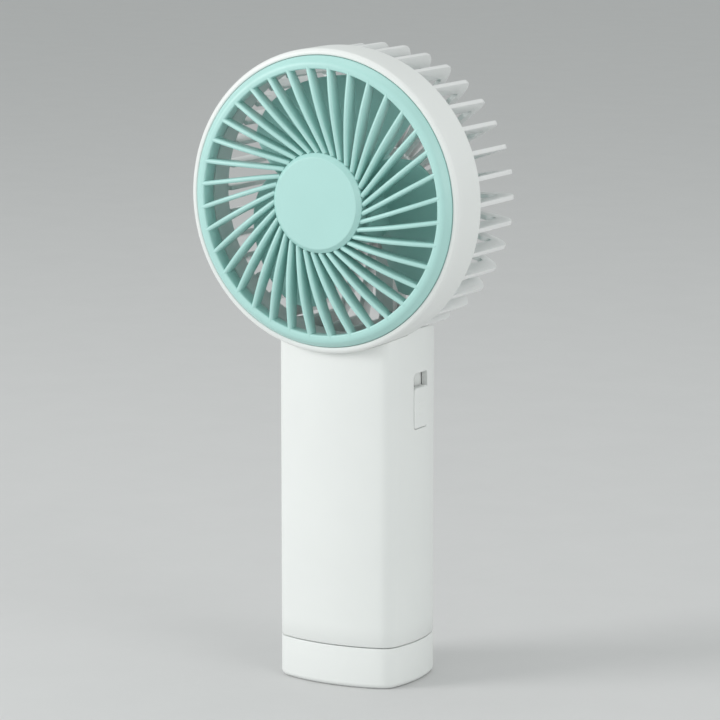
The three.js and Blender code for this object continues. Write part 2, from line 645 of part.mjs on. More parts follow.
/** One L-shaped rib: an outer leg with a tongue into the drum, and a rear leg to the hub plate. */
function cageRib() {
  const start = DRUM_BACK_Y + GAP;
  const back = CAGE_BACK_Y;
  const bend = RIB_BEND_RADIUS;
  const legFront = back - REAR_LEG_DEPTH;
  const shape = new THREE.Shape();
  shape.moveTo(CAGE_RING_INNER, CAGE_RING_BACK_Y - 1);
  shape.lineTo(CAGE_RING_OUTER, CAGE_RING_BACK_Y - 1);
  shape.lineTo(CAGE_RING_OUTER, start);
  shape.lineTo(RIB_OUTER, start);
  shape.lineTo(RIB_OUTER, back - bend);
  shape.absarc(RIB_OUTER - bend, back - bend, bend, 0, Math.PI / 2, false);
  shape.lineTo(HUB_PLATE_RADIUS - 1, back);
  shape.lineTo(HUB_PLATE_RADIUS - 1, legFront);
  shape.lineTo(RIB_INNER - 1.6, legFront);
  shape.lineTo(RIB_INNER, legFront - 1.6);
  shape.lineTo(RIB_INNER, start);
  shape.lineTo(CAGE_RING_INNER, start);
  const geometry = extruded(shape, RIB_THICKNESS);
  geometry.translate(0, 0, -RIB_THICKNESS / 2);
  return solid(geometry);
}

function rearCage() {
  const ringFront = COLLAR_BACK_Y + GAP;
  let cage = turned([[CAGE_RING_INNER, ringFront], [CAGE_RING_OUTER, ringFront],
    [CAGE_RING_OUTER, CAGE_RING_BACK_Y], [CAGE_RING_INNER, CAGE_RING_BACK_Y]], RIB_COUNT);
  cage = cage.rotate([0, 180 / RIB_COUNT, 0]);
  const rib = cageRib();
  for (let i = 0; i < RIB_COUNT; i += 1) {
    cage = cage.add(rib.rotate([0, (360 / RIB_COUNT) * i, 0]));
  }
  cage = cage.add(turned([[0, HUB_PLATE_FRONT_Y], [HUB_PLATE_RADIUS, HUB_PLATE_FRONT_Y],
    [HUB_PLATE_RADIUS, CAGE_BACK_Y], [HUB_PLATE_RADIUS - 2, CAGE_BACK_Y],
    [HUB_PLATE_RADIUS - 2, HUB_PLATE_BACK_Y], [0, HUB_PLATE_BACK_Y]], 36));
  for (const screw of motorScrewPlaces()) {
    cage = cage.subtract(rodY(1.2, screw.x, screw.y, 13, 17));
    cage = cage.subtract(rodY(2.3, screw.x, screw.y, 14.7, 17));
  }
  return cage;
}

function rearHubCap() {
  const radius = HUB_PLATE_RADIUS - 2 - GAP;
  const front = HUB_PLATE_BACK_Y + GAP;
  return turned([[0, front], [radius, front], [radius, CAGE_BACK_Y - 0.5], [radius - 0.6, CAGE_BACK_Y],
    [0, CAGE_BACK_Y]], 36);
}

/** The cover strip that hides the motor leads in front of two rear legs. */
function wireCover() {
  const outer = box(0.4, 6.6, 10.9, 13.8, -38, -18.5);
  return outer.subtract(box(1, 6, 11.5, 14, -39, -18));
}

/** Where a blade's two long edges lie, in degrees from the blade's start. */
function bladeEnd(radius) {
  return 107 - 1.2 * (radius - 20);
}

/** One broad blade: a helical sheet from its rear, leading edge to its front, trailing edge. */
function blade() {
  const across = 3;
  const along = 7;
  const root = HUB_INNER + 0.6;
  const corners = [];
  for (const side of [-1, 1]) {
    for (let i = 0; i <= across; i += 1) {
      for (let j = 0; j <= along; j += 1) {
        const u = j / along;
        const tip = BLADE_TIP - 5 * Math.abs(2 * u - 1) ** 5;
        const radius = root + ((tip - root) * i) / across;
        const flat = polar(radius, BLADE_LEAD_DEG + u * bladeEnd(radius));
        const middle = THREE.MathUtils.lerp(BLADE_LEAD_Y, BLADE_TRAIL_Y, u ** 0.9);
        corners.push(flat.x, middle + (side * BLADE_THICKNESS) / 2, flat.y);
      }
    }
  }
  const row = along + 1;
  const layer = row * (across + 1);
  const faces = [];
  const quad = (a, b, c, d) => faces.push(a, b, c, a, c, d);
  for (let i = 0; i < across; i += 1) {
    for (let j = 0; j < along; j += 1) {
      const k = i * row + j;
      quad(k, k + 1, k + row + 1, k + row);
      quad(layer + k, layer + k + row, layer + k + row + 1, layer + k + 1);
    }
  }
  for (let j = 0; j < along; j += 1) {
    const k = across * row + j;
    quad(j, layer + j, layer + j + 1, j + 1);
    quad(k, k + 1, layer + k + 1, layer + k);
  }
  for (let i = 0; i < across; i += 1) {
    const k = i * row;
    const m = k + along;
    quad(k, k + row, layer + k + row, layer + k);
    quad(m, layer + m, layer + m + row, m + row);
  }
  const geometry = new THREE.BufferGeometry();
  geometry.setAttribute('position', new THREE.Float32BufferAttribute(corners, 3));
  geometry.setIndex(faces);
  return solid(geometry);
}

function impeller() {
  const floor = HUB_FRONT_Y + 1.5;
  let wheel = turned([[SHAFT_BORE, HUB_FRONT_Y], [HUB_OUTER - 1.2, HUB_FRONT_Y],
    [HUB_OUTER, HUB_FRONT_Y + 1.2], [HUB_OUTER, HUB_BACK_Y], [HUB_INNER, HUB_BACK_Y], [HUB_INNER, floor],
    [4, floor], [4, CAN_FRONT_Y - GAP], [SHAFT_BORE, CAN_FRONT_Y - GAP]], 30);
  const sheet = blade();
  for (let i = 0; i < BLADE_COUNT; i += 1) {
    wheel = wheel.add(sheet.rotate([0, (360 / BLADE_COUNT) * i, 0]));
  }
  return wheel;
}

function impellerNut() {
  const back = HUB_FRONT_Y - GAP;
  const nut = turned([[0, -20], [1.6, -20], [2.4, -19.6], [2.4, back], [0, back]], 12);
  return nut.subtract(rodY(SHAFT_BORE, 0, 0, SHAFT_FRONT_Y - GAP, -15));
}

function rotorCan() {
  const inner = CAN_OUTER - CAN_WALL;
  return turned([[SHAFT_BORE, CAN_FRONT_Y], [CAN_OUTER - 0.8, CAN_FRONT_Y], [CAN_OUTER, CAN_FRONT_Y + 0.8],
    [CAN_OUTER, CAN_BACK_Y], [inner, CAN_BACK_Y], [inner, CAN_FRONT_Y + CAN_WALL],
    [SHAFT_BORE, CAN_FRONT_Y + CAN_WALL]], 30);
}

function rotorMagnet() {
  const outer = CAN_OUTER - CAN_WALL - GAP;
  const inner = STATOR_OUTER + 0.4;
  return turned([[inner, -10], [outer, -10], [outer, 1.5], [inner, 1.5]], 30);
}

function statorCore() {
  const ring = turned([[TUBE_OUTER + GAP, STATOR_FRONT_Y], [6.2, STATOR_FRONT_Y], [6.2, STATOR_BACK_Y],
    [TUBE_OUTER + GAP, STATOR_BACK_Y]], 18);
  const web = box(5.6, 10, -8, 0, -TOOTH_HALF_WIDTH, TOOTH_HALF_WIDTH);
  const tooth = web.add(prismY(ringSlice(9.6, STATOR_OUTER, -24, 24), STATOR_FRONT_Y, STATOR_BACK_Y));
  let core = ring;
  for (let i = 0; i < TOOTH_COUNT; i += 1) {
    core = core.add(tooth.rotate([0, (360 / TOOTH_COUNT) * i, 0]));
  }
  return core;
}

/** One coil, wound round a tooth. */
function winding(index) {
  const opening = TOOTH_HALF_WIDTH + GAP;
  const front = STATOR_FRONT_Y - GAP;
  const back = STATOR_BACK_Y + GAP;
  const coil = box(6.6, 8.5, front - 1.6, back + 1.6, -opening - 1.5, opening + 1.5);
  const bare = coil.subtract(box(6, 10, front, back, -opening, opening));
  return bare.rotate([0, (360 / TOOTH_COUNT) * index, 0]);
}

function motorBase() {
  let base = turned([[0, FLANGE_FRONT_Y], [TUBE_INNER, FLANGE_FRONT_Y], [TUBE_INNER, TUBE_FRONT_Y],
    [TUBE_OUTER, TUBE_FRONT_Y], [TUBE_OUTER, FLANGE_FRONT_Y - 0.1], [9, FLANGE_FRONT_Y - 0.1],
    [9, FLANGE_BACK_Y], [0, FLANGE_BACK_Y]], 20);
  for (const screw of motorScrewPlaces()) {
    base = base.subtract(rodY(1.2, screw.x, screw.y, 10, 14));
  }
  return base;
}

function motorBoard() {
  const ring = turned([[TUBE_OUTER + GAP, 9], [11.5, 9], [11.5, 10.2], [TUBE_OUTER + GAP, 10.2]], 24);
  return ring.add(box(0.8, 6.2, 9, 10.2, -12, -9.5));
}

/** A plain bearing bush in the motor's tube. */
function bearing(y0, y1) {
  return turned([[SHAFT_RADIUS + 0.25, y0], [TUBE_INNER - GAP, y0], [TUBE_INNER - GAP, y1],
    [SHAFT_RADIUS + 0.25, y1]], 16);
}

function motorScrewPlaces() {
  return [90, 210, 330].map((angle) => polar(MOTOR_SCREW_CIRCLE, angle));
}

function headParts() {
  const group = new THREE.Group();
  group.position.z = HEAD_AXIS_Z;
  group.add(
    piece('drum_shell', drumShell(), 'white_plastic'),
    piece('front_grille', frontGrille(), 'mint_plastic'),
    piece('grille_badge', grilleBadge(), 'mint_plastic'),
    piece('rear_cage', rearCage(), 'white_plastic'),
    piece('rear_hub_cap', rearHubCap(), 'white_plastic'),
    piece('wire_cover', wireCover(), 'white_plastic'),
    piece('impeller', impeller(), 'mint_plastic'),
    piece('impeller_nut', impellerNut(), 'steel'),
    piece('rotor_can', rotorCan(), 'steel'),
    piece('rotor_magnet', rotorMagnet(), 'magnet'),
    piece('motor_shaft', rodY(SHAFT_RADIUS, 0, 0, SHAFT_FRONT_Y, SHAFT_BACK_Y, 16), 'steel'),
    piece('stator_core', statorCore(), 'steel'),
    piece('motor_base', motorBase(), 'aluminium'),
    piece('motor_board', motorBoard(), 'green_board'),
    piece('bearing_front', bearing(TUBE_FRONT_Y + 0.3, TUBE_FRONT_Y + 3), 'steel'),
    piece('bearing_rear', bearing(7.4, 10), 'steel'),
  );
  for (let i = 0; i < TOOTH_COUNT; i += 1) {
    group.add(piece(`stator_winding_${i + 1}`, winding(i), 'copper'));
  }
  motorScrewPlaces().forEach((place, i) => {
    group.add(piece(`motor_screw_${i + 1}`, screwAlongY(place.x, place.y, 11.3, 15, 16), 'steel'));
  });
  return group;
}

const fan = new THREE.Group();
fan.add(handleParts(), headParts());

export default fan;
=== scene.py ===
"""Looks for the handheld electric fan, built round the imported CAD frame.

Shapes are worked out in millimetres in the frame's own axes and turned into metres when a mesh is made.
The fan blows towards -Y, the handle stands on z = 0, and the switch is on the +X side.
"""
import math

import bmesh
import bpy
from mathutils import Matrix, Vector


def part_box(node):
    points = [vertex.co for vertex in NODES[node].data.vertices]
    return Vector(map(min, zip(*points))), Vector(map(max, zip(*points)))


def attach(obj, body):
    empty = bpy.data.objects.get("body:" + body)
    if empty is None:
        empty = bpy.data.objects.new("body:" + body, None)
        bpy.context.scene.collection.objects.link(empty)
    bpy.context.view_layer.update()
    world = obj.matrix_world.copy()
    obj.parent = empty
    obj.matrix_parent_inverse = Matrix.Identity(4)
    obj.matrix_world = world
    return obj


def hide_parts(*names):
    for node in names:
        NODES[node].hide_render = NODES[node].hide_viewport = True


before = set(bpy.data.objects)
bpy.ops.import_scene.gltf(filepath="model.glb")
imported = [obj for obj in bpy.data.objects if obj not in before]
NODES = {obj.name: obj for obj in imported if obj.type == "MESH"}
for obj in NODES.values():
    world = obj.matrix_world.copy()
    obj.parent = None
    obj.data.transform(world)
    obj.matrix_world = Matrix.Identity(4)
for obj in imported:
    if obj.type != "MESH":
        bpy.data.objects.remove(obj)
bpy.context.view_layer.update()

MM = 0.001
GAP = 0.3


def span(node):
    """A CAD node's lowest and highest corners, in millimetres."""
    low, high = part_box(node)
    return Vector(low) / MM, Vector(high) / MM


def centre_of(node):
    """The middle of a CAD node's box, in millimetres."""
    low, high = span(node)
    return (low + high) / 2


# ---------- sizes taken from the frame ----------

drum_low, drum_high = span("drum_shell")
grille_high = span("front_grille")[1]
badge_low, badge_high = span("grille_badge")
cage_high = span("rear_cage")[1]
cap_low, cap_high = span("rear_hub_cap")
shell_low, shell_high = span("handle_shell")
knob_low, knob_high = span("switch_knob")
track_low, track_high = span("switch_track")
nut_low, nut_high = span("impeller_nut")
wheel_low, wheel_high = span("impeller")

AXIS_Z = (drum_low.z + drum_high.z) / 2
HEAD_RADIUS = drum_high.x
DRUM_FRONT = drum_low.y
DRUM_BACK = drum_high.y
LIP_BORE = HEAD_RADIUS - 2
DRUM_BORE = LIP_BORE - 1.2
RING_OUTER = grille_high.x
RING_INNER = RING_OUTER - 3.8
RING_EDGE = LIP_BORE - 0.1
RING_FRONT = DRUM_FRONT - 2.5
GRILLE_SEAT = DRUM_FRONT + 2.2
SKIRT_BACK = grille_high.y
GROOVE_FRONT = GRILLE_SEAT + 1.9
GROOVE_BACK = GROOVE_FRONT + 2.5
BADGE_RADIUS = badge_high.x
RIB_OUTER = HEAD_RADIUS - 1
RIB_INNER = RIB_OUTER - 4.7
CAGE_BACK = cage_high.y
RIB_BACK = CAGE_BACK + 1.3
RIB_CORNER_FRONT = RIB_BACK - 3.8
RIB_START = DRUM_BACK + GAP
REAR_LEG_FRONT = cap_low.y - 2.4
HUB_PLATE_RADIUS = cap_high.x + 2 + GAP
HALF_WIDTH = shell_high.x
HALF_DEPTH = shell_high.y
SHELL_BOTTOM = shell_low.z
SEAM_Z = SHELL_BOTTOM - GAP

FRONT_FACE_RADIUS = 51.3
SIDE_FACE_RADIUS = 43.8
CORNER_RADIUS = 6.5
WALL = 2
DRUM_SEAT = HEAD_RADIUS + 0.04
RIB_SEAT = RIB_OUTER + 0.12
SWITCH_Y = (knob_low.y + knob_high.y) / 2
SWITCH_TRAVEL = 4.4
SLOT_BOTTOM = knob_low.z - 0.2
SLOT_TOP = knob_high.z + SWITCH_TRAVEL + 0.15
SLOT_WIDTH = knob_high.y - knob_low.y + 0.4
PORT_Z = centre_of("usb_port_shell").z
LIGHT_Z = centre_of("led_light_pipe").z


# ---------- mesh helpers ----------

def make(name, shape, material, sharp=35):
    """A mesh object from a shape, smooth except across edges sharper than the given angle."""
    mesh = bpy.data.meshes.new(name)
    mesh.from_pydata([v * MM for v in shape.vertices], [], shape.faces)
    build = bmesh.new()
    build.from_mesh(mesh)
    bmesh.ops.remove_doubles(build, verts=build.verts, dist=1e-7)
    bmesh.ops.recalc_face_normals(build, faces=build.faces)
    build.to_mesh(mesh)
    build.free()
    mesh.shade_smooth()
    mesh.set_sharp_from_angle(angle=math.radians(sharp))
    mesh.materials.append(material)
    obj = bpy.data.objects.new(name, mesh)
    bpy.context.scene.collection.objects.link(obj)
    return obj


class Shape:
    """Vertices in millimetres and faces, which can take in other shapes."""

    def __init__(self, vertices, faces):
        self.vertices = [Vector(v) for v in vertices]
        self.faces = faces

    def add(self, other, matrix=Matrix()):
        start = len(self.vertices)
        self.vertices += [matrix @ v for v in other.vertices]
        self.faces += [[start + i for i in face] for face in other.faces]


def rounded(corners, steps=6):
    """A closed outline with round corners. Each corner is (u, v, radius)."""
    outline = []
    for i, (u, v, radius) in enumerate(corners):
        here = Vector((u, v))
        if radius <= 0:
            outline.append(here)
            continue
        before = (Vector(corners[i - 1][:2]) - here).normalized()
        after = (Vector(corners[(i + 1) % len(corners)][:2]) - here).normalized()
        half = before.angle(after) / 2
        centre = here + (before + after).normalized() * (radius / math.sin(half))
        start = here + before * (radius / math.tan(half)) - centre
        turn = math.pi - 2 * half
        tip = here - centre
        if start.x * tip.y - start.y * tip.x < 0:
            turn = -turn
        for k in range(steps + 1):
            outline.append(centre + Matrix.Rotation(turn * k / steps, 2) @ start)
    return outline


def round_rectangle(width, height, radius, u=0.0, v=0.0, steps=8):
    """A rounded rectangle's outline, centred on (u, v)."""
    x, y = width / 2, height / 2
    signs = ((1, -1), (1, 1), (-1, 1), (-1, -1))
    return rounded([(u + x * across, v + y * up, radius) for across, up in signs], steps)


def quarter_round(steps):
    """Pairs (1 - sine, 1 - cosine) in even steps through a quarter turn, for a round edge."""
    angles = [math.pi / 2 * k / steps for k in range(steps + 1)]
    return [(1 - math.sin(angle), 1 - math.cos(angle)) for angle in angles]


def rings(loops, first_cap=True, last_cap=True):
    """Faces between loops of equal length, each a closed ring of points, with end caps."""
    count = len(loops[0])
    last = (len(loops) - 1) * count
    faces = []
    for a in range(0, last, count):
        b = a + count
        for j in range(count):
            k = (j + 1) % count
            faces.append([a + j, a + k, b + k, b + j])
    if first_cap:
        faces.append(list(range(count))[::-1])
    if last_cap:
        faces.append([last + j for j in range(count)])
    return Shape([p for loop in loops for p in loop], faces)


def turned(profile, segments=192, axis="Y", centre=(0, 0, 0)):
    """A closed (radius, height) outline revolved round an axis. Points with no radius stay single."""
    vertices = []
    starts = []
    for radius, height in profile:
        starts.append((len(vertices), radius < 1e-6))
        steps = 1 if radius < 1e-6 else segments
        for k in range(steps):
            angle = 2 * math.pi * k / segments
            across, up = radius * math.cos(angle), radius * math.sin(angle)
            point = (across, height, up) if axis == "Y" else (across, up, height)
            vertices.append(Vector(point) + Vector(centre))
    faces = []
    for i, (a, a_single) in enumerate(starts):
        b, b_single = starts[(i + 1) % len(starts)]
        if a_single and b_single:
            continue
        for k in range(segments):
            m = (k + 1) % segments
            if a_single:
                faces.append([a, b + k, b + m])
            elif b_single:
                faces.append([a + k, a + m, b])
            else:
                faces.append([a + k, a + m, b + m, b + k])
    return Shape(vertices, faces)


def head_turned(corners, segments=192, steps=6):
    """A revolved piece on the head's axis, from corners (radius, y, rounding)."""
    profile = [(max(p.x, 0.0), p.y) for p in rounded(corners, steps)]
    return turned(profile, segments, "Y", (0, 0, AXIS_Z))


def spin(degrees):
    """The turn about the head's axis, anticlockwise as seen from the front."""
    there = Matrix.Translation((0, 0, AXIS_Z))
    return there @ Matrix.Rotation(-math.radians(degrees), 4, "Y") @ there.inverted()


def polar(radius, degrees):
    angle = math.radians(degrees)
    return Vector((radius * math.cos(angle), radius * math.sin(angle)))


def tube(points, radius, sides=12, steps=10):
    """A round wire through points, smoothed by a Catmull-Rom curve, with closed ends."""
    points = [Vector(p) for p in points]
    track = [points[0] * 2 - points[1], *points, points[-1] * 2 - points[-2]]
    path = []
    for i in range(1, len(track) - 2):
        p0, p1, p2, p3 = track[i - 1:i + 3]
        for k in range(steps):
            t = k / steps
            path.append(0.5 * (2 * p1 + (p2 - p0) * t + (2 * p0 - 5 * p1 + 4 * p2 - p3) * t * t
                               + (3 * p1 - p0 - 3 * p2 + p3) * t ** 3))
    path.append(points[-1])
    loops = []
    for i, here in enumerate(path):
        along = (path[min(i + 1, len(path) - 1)] - path[max(i - 1, 0)]).normalized()
        side = Vector((1, 0, 0))
        side = (side - along * side.dot(along)).normalized()
        up = along.cross(side)
        loops.append([here + side * radius * math.cos(2 * math.pi * k / sides)
                      + up * radius * math.sin(2 * math.pi * k / sides) for k in range(sides)])
    return rings(loops)


def finish_piece(shape, name, material, body, nodes=(), sharp=35):
    """Makes the mesh, seats it on its body and lets it stand for its CAD nodes."""
    obj = make(name, shape, material, sharp)
    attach(obj, body)
    if nodes:
        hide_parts(*nodes)
    return obj


# ---------- materials ----------

class Nodes:
    """A material's node tree with a Principled shader, and short calls to add to it."""

    def __init__(self, name):
        self.material = bpy.data.materials.new(name)
        self.material.use_nodes = True
        self.tree = self.material.node_tree
        self.shader = self.tree.nodes["Principled BSDF"]
        self.place = self.add("ShaderNodeTexCoord").outputs["Object"]

    def add(self, kind, **settings):
        node = self.tree.nodes.new(kind)
        for key, value in settings.items():
            setattr(node, key, value)
        return node

    def link(self, source, target):
        self.tree.links.new(source, target)

    def stretched(self, scale):
        mapping = self.add("ShaderNodeMapping")
        mapping.inputs["Scale"].default_value = scale
        self.link(self.place, mapping.inputs["Vector"])
        return mapping.outputs["Vector"]

    def noise(self, scale, detail=3.0, roughness=0.5, vector=None):
        node = self.add("ShaderNodeTexNoise")
        node.inputs["Scale"].default_value = scale
        node.inputs["Detail"].default_value = detail
        node.inputs["Roughness"].default_value = roughness
        self.link(vector or self.place, node.inputs["Vector"])
        return node.outputs["Fac"]

    def mapped(self, value, low, high, from_low=0.3, from_high=0.7):
        node = self.add("ShaderNodeMapRange")
        node.inputs["From Min"].default_value = from_low
        node.inputs["From Max"].default_value = from_high
        node.inputs["To Min"].default_value = low
        node.inputs["To Max"].default_value = high
        self.link(value, node.inputs["Value"])
        return node.outputs["Result"]

    def ramp(self, value, stops):
        node = self.add("ShaderNodeValToRGB")
        elements = node.color_ramp.elements
        while len(elements) < len(stops):
            elements.new(0.5)
        for element, (position, colour) in zip(elements, stops):
            element.position = position
            element.color = (*colour, 1)
        self.link(value, node.inputs["Fac"])
        return node.outputs["Color"]

    def bump(self, height, strength, distance, normal=None):
        node = self.add("ShaderNodeBump")
        node.inputs["Strength"].default_value = strength
        node.inputs["Distance"].default_value = distance
        self.link(height, node.inputs["Height"])
        if normal:
            self.link(normal, node.inputs["Normal"])
        return node.outputs["Normal"]

    def set(self, **values):
        for key, value in values.items():
            self.shader.inputs[key.replace("_", " ")].default_value = value


def tint(colour, factor):
    """A colour made lighter or darker."""
    return tuple(min(1.0, channel * factor) for channel in colour)


def moulded_plastic(name, colour, roughness, grain=0.12, variation=0.03, coat=0.0):
    """Injection-moulded plastic: faint cloudy colour, a fine spark-eroded grain and uneven gloss."""
    n = Nodes(name)
    cloud = n.noise(35, 3, 0.55)
    n.link(n.ramp(cloud, [(0.3, tint(colour, 1 - variation)), (0.7, tint(colour, 1 + variation))]),
           n.shader.inputs["Base Color"])
    gloss = n.mapped(n.noise(260, 4, 0.6), roughness - 0.04, roughness + 0.05)
    n.link(gloss, n.shader.inputs["Roughness"])
    fine = n.bump(n.noise(5200, 2, 0.5), grain, 0.00004)
    soft = n.bump(n.noise(90, 2, 0.4), 0.05, 0.0003, fine)
    n.link(soft, n.shader.inputs["Normal"])
    n.set(IOR=1.46, Coat_Weight=coat)
    return n.material


def brushed_metal(name, colour, roughness, stretch=(40, 3000, 40)):
    """Drawn or machined metal with fine lines along one direction."""
    n = Nodes(name)
    lines = n.noise(1.0, 4, 0.6, n.stretched(stretch))
    n.link(n.ramp(lines, [(0.3, tint(colour, 0.9)), (0.7, tint(colour, 1.08))]),
           n.shader.inputs["Base Color"])
    n.link(n.mapped(lines, roughness - 0.07, roughness + 0.1), n.shader.inputs["Roughness"])
    n.link(n.bump(lines, 0.12, 0.00005), n.shader.inputs["Normal"])
    n.set(Metallic=1.0)
    return n.material


def sintered(name, colour, roughness, metallic):
    """Pressed magnet or ferrite: dark, dull and granular."""
    n = Nodes(name)
    grains = n.noise(2600, 5, 0.7)
    n.link(n.ramp(grains, [(0.35, tint(colour, 0.7)), (0.65, tint(colour, 1.3))]),
           n.shader.inputs["Base Color"])
    n.link(n.mapped(grains, roughness - 0.1, roughness + 0.1), n.shader.inputs["Roughness"])
    n.link(n.bump(grains, 0.4, 0.00006), n.shader.inputs["Normal"])
    n.set(Metallic=metallic)
    return n.material


def circuit_board(name):
    """Solder mask with a faint relief of copper tracks under it."""
    n = Nodes(name)
    bricks = n.add("ShaderNodeTexBrick")
    bricks.inputs["Scale"].default_value = 260
    bricks.inputs["Mortar Size"].default_value = 0.06
    n.link(n.place, bricks.inputs["Vector"])
    tracks = bricks.outputs["Fac"]
    board = n.ramp(tracks, [(0.2, (0.012, 0.13, 0.055)), (0.8, (0.03, 0.24, 0.1))])
    n.link(board, n.shader.inputs["Base Color"])
    n.link(n.mapped(n.noise(400), 0.3, 0.42), n.shader.inputs["Roughness"])
    n.link(n.bump(tracks, 0.5, 0.00004), n.shader.inputs["Normal"])
    n.set(Coat_Weight=0.3)
    return n.material


def enamelled_copper(name):
    """Copper wire wound in close turns under clear enamel."""
    n = Nodes(name)
    turns = n.add("ShaderNodeTexWave", bands_direction="Y")
    turns.inputs["Scale"].default_value = 900
    turns.inputs["Distortion"].default_value = 0.6
    n.link(n.place, turns.inputs["Vector"])
    wave = turns.outputs["Fac"]
    # Colour follows the turns: darker in the grooves between turns as painted shade, lighter on each crown as
    # painted highlight.
    n.link(n.ramp(wave, [(0.1, (0.25, 0.075, 0.02)), (0.9, (0.75, 0.3, 0.11))]),
           n.shader.inputs["Base Color"])
    n.link(n.mapped(n.noise(700), 0.24, 0.4), n.shader.inputs["Roughness"])
    n.link(n.bump(wave, 0.7, 0.00012), n.shader.inputs["Normal"])
    n.set(Metallic=1.0, Coat_Weight=0.4)
    return n.material


def light_pipe(name):
    """Clear, slightly frosted plastic."""
    n = Nodes(name)
    cloud = n.noise(600, 2, 0.5)
    n.link(n.ramp(cloud, [(0.3, (0.84, 0.88, 0.9)), (0.7, (0.93, 0.95, 0.96))]),
           n.shader.inputs["Base Color"])
    n.link(n.mapped(cloud, 0.12, 0.24), n.shader.inputs["Roughness"])
    n.set(Transmission_Weight=0.8, IOR=1.49)
    return n.material


WHITE = moulded_plastic("white_plastic_satin", (0.79, 0.81, 0.795), 0.4, 0.1, 0.012)
WHITE_CAGE = moulded_plastic("white_plastic_cage", (0.775, 0.785, 0.78), 0.44, 0.12, 0.015)
MINT = moulded_plastic("mint_plastic_satin", (0.43, 0.7, 0.66), 0.36, 0.1, 0.02)
MINT_BLADE = moulded_plastic("mint_plastic_blade", (0.42, 0.69, 0.65), 0.34, 0.08, 0.02)
BLACK = moulded_plastic("black_plastic_matt", (0.018, 0.018, 0.02), 0.55, 0.3, 0.1)
GREY = moulded_plastic("grey_plastic_matt", (0.33, 0.35, 0.37), 0.55, 0.25, 0.05)
CELL_WRAP = moulded_plastic("cell_wrap_blue", (0.02, 0.13, 0.42), 0.28, 0.05, 0.05, 0.3)
RED_WIRE = moulded_plastic("wire_red", (0.45, 0.015, 0.015), 0.4, 0.15, 0.06)
BLACK_WIRE = moulded_plastic("wire_black", (0.014, 0.014, 0.015), 0.42, 0.15, 0.08)
WHITE_WIRE = moulded_plastic("wire_white", (0.66, 0.67, 0.66), 0.4, 0.15, 0.04)
STEEL = brushed_metal("steel_drawn", (0.5, 0.51, 0.53), 0.32)
STEEL_DARK = brushed_metal("steel_laminations", (0.33, 0.33, 0.34), 0.42, (40, 6000, 40))
NICKEL = brushed_metal("nickel_strip", (0.56, 0.53, 0.48), 0.3, (2500, 60, 60))
ALUMINIUM = brushed_metal("aluminium_machined", (0.66, 0.67, 0.68), 0.36)
MAGNET = sintered("magnet_ring", (0.055, 0.055, 0.06), 0.55, 0.5)
FERRITE = sintered("ferrite", (0.03, 0.03, 0.032), 0.7, 0.0)
BOARD = circuit_board("circuit_board_green")
COPPER = enamelled_copper("enamelled_copper")
CLEAR = light_pipe("light_pipe_clear")


# ---------- handle ----------

def handle_arcs():
    """The centres and end angles of the arcs in the first quarter of the handle's outline."""
    face = Vector((0, HALF_DEPTH - FRONT_FACE_RADIUS))
    side = Vector((HALF_WIDTH - SIDE_FACE_RADIUS, 0))
    face_reach = FRONT_FACE_RADIUS - CORNER_RADIUS
    side_reach = SIDE_FACE_RADIUS - CORNER_RADIUS
    apart = (side - face).length
    along = (face_reach ** 2 - side_reach ** 2 + apart ** 2) / (2 * apart)
    across = math.sqrt(face_reach ** 2 - along ** 2)
    direction = (side - face) / apart
    corner = face + direction * along + Vector((direction.y, -direction.x)) * across
    face_angle = math.atan2(corner.y - face.y, corner.x)
    side_angle = math.atan2(corner.y, corner.x - side.x)
    return face, side, corner, face_angle, side_angle


FACE_CENTRE, SIDE_CENTRE, CORNER_CENTRE, FACE_ANGLE, SIDE_ANGLE = handle_arcs()
SIDE_HALF = SIDE_FACE_RADIUS * math.sin(SIDE_ANGLE)
FACE_HALF = FRONT_FACE_RADIUS * math.cos(FACE_ANGLE)


def side_x(y, inset=0.0):
    """Where the +X side face is, at a depth y."""
    radius = SIDE_FACE_RADIUS - inset
    return SIDE_CENTRE.x + math.sqrt(radius ** 2 - y ** 2)


def face_y(x, inset=0.0):
    """Where the rear (+Y) face is, at a width x."""
    radius = FRONT_FACE_RADIUS - inset
    return FACE_CENTRE.y + math.sqrt(radius ** 2 - x ** 2)


def even(low, high, steps):
    """Evenly spaced positions with both ends."""
    return [low + (high - low) * i / steps for i in range(steps + 1)]


SLOT_CORNER = 1.3
SLOT_MARGIN = 2.2
SLOT_REACH = SLOT_WIDTH / 2 + SLOT_MARGIN
SLOT_PATCH_Y = (SWITCH_Y - SLOT_REACH, SWITCH_Y + SLOT_REACH)
PORT_WIDTH, PORT_HEIGHT, PORT_CORNER = 9.8, 4.2, 1.9
LIGHT_RADIUS = 1.5
PORT_PATCH_X = (-7.4, 7.4)
PORT_PATCH_HALF = 4.6
SEAT_STEP_Y = (DRUM_BACK + 0.05, DRUM_BACK + 1.1)


def outline_columns():
    """Outline points as (face, position along it), with columns at the patches and at the seat's step."""
    side = [*even(-SIDE_HALF, SEAT_STEP_Y[0], 4), SEAT_STEP_Y[1], *even(*SLOT_PATCH_Y, 12)]
    side += even(SLOT_PATCH_Y[1], SIDE_HALF, 4)[1:]
    rear = [*even(-FACE_HALF, PORT_PATCH_X[0], 4), *even(*PORT_PATCH_X, 12)[1:]]
    rear += even(PORT_PATCH_X[1], FACE_HALF, 4)[1:]
    bend = 12
    columns = [("side", y) for y in side]
    columns += [("corner", k / bend) for k in range(1, bend)]
    columns += [("rear", x) for x in reversed(rear)]
    columns += [("far_corner", k / bend) for k in range(1, bend)]
    columns += [("far_side", y) for y in reversed(side)]
    columns += [("far_front_corner", k / bend) for k in range(1, bend)]
    columns += [("front", x) for x in even(-FACE_HALF, FACE_HALF, 20)]
    columns += [("front_corner", k / bend) for k in range(1, bend)]
    return columns


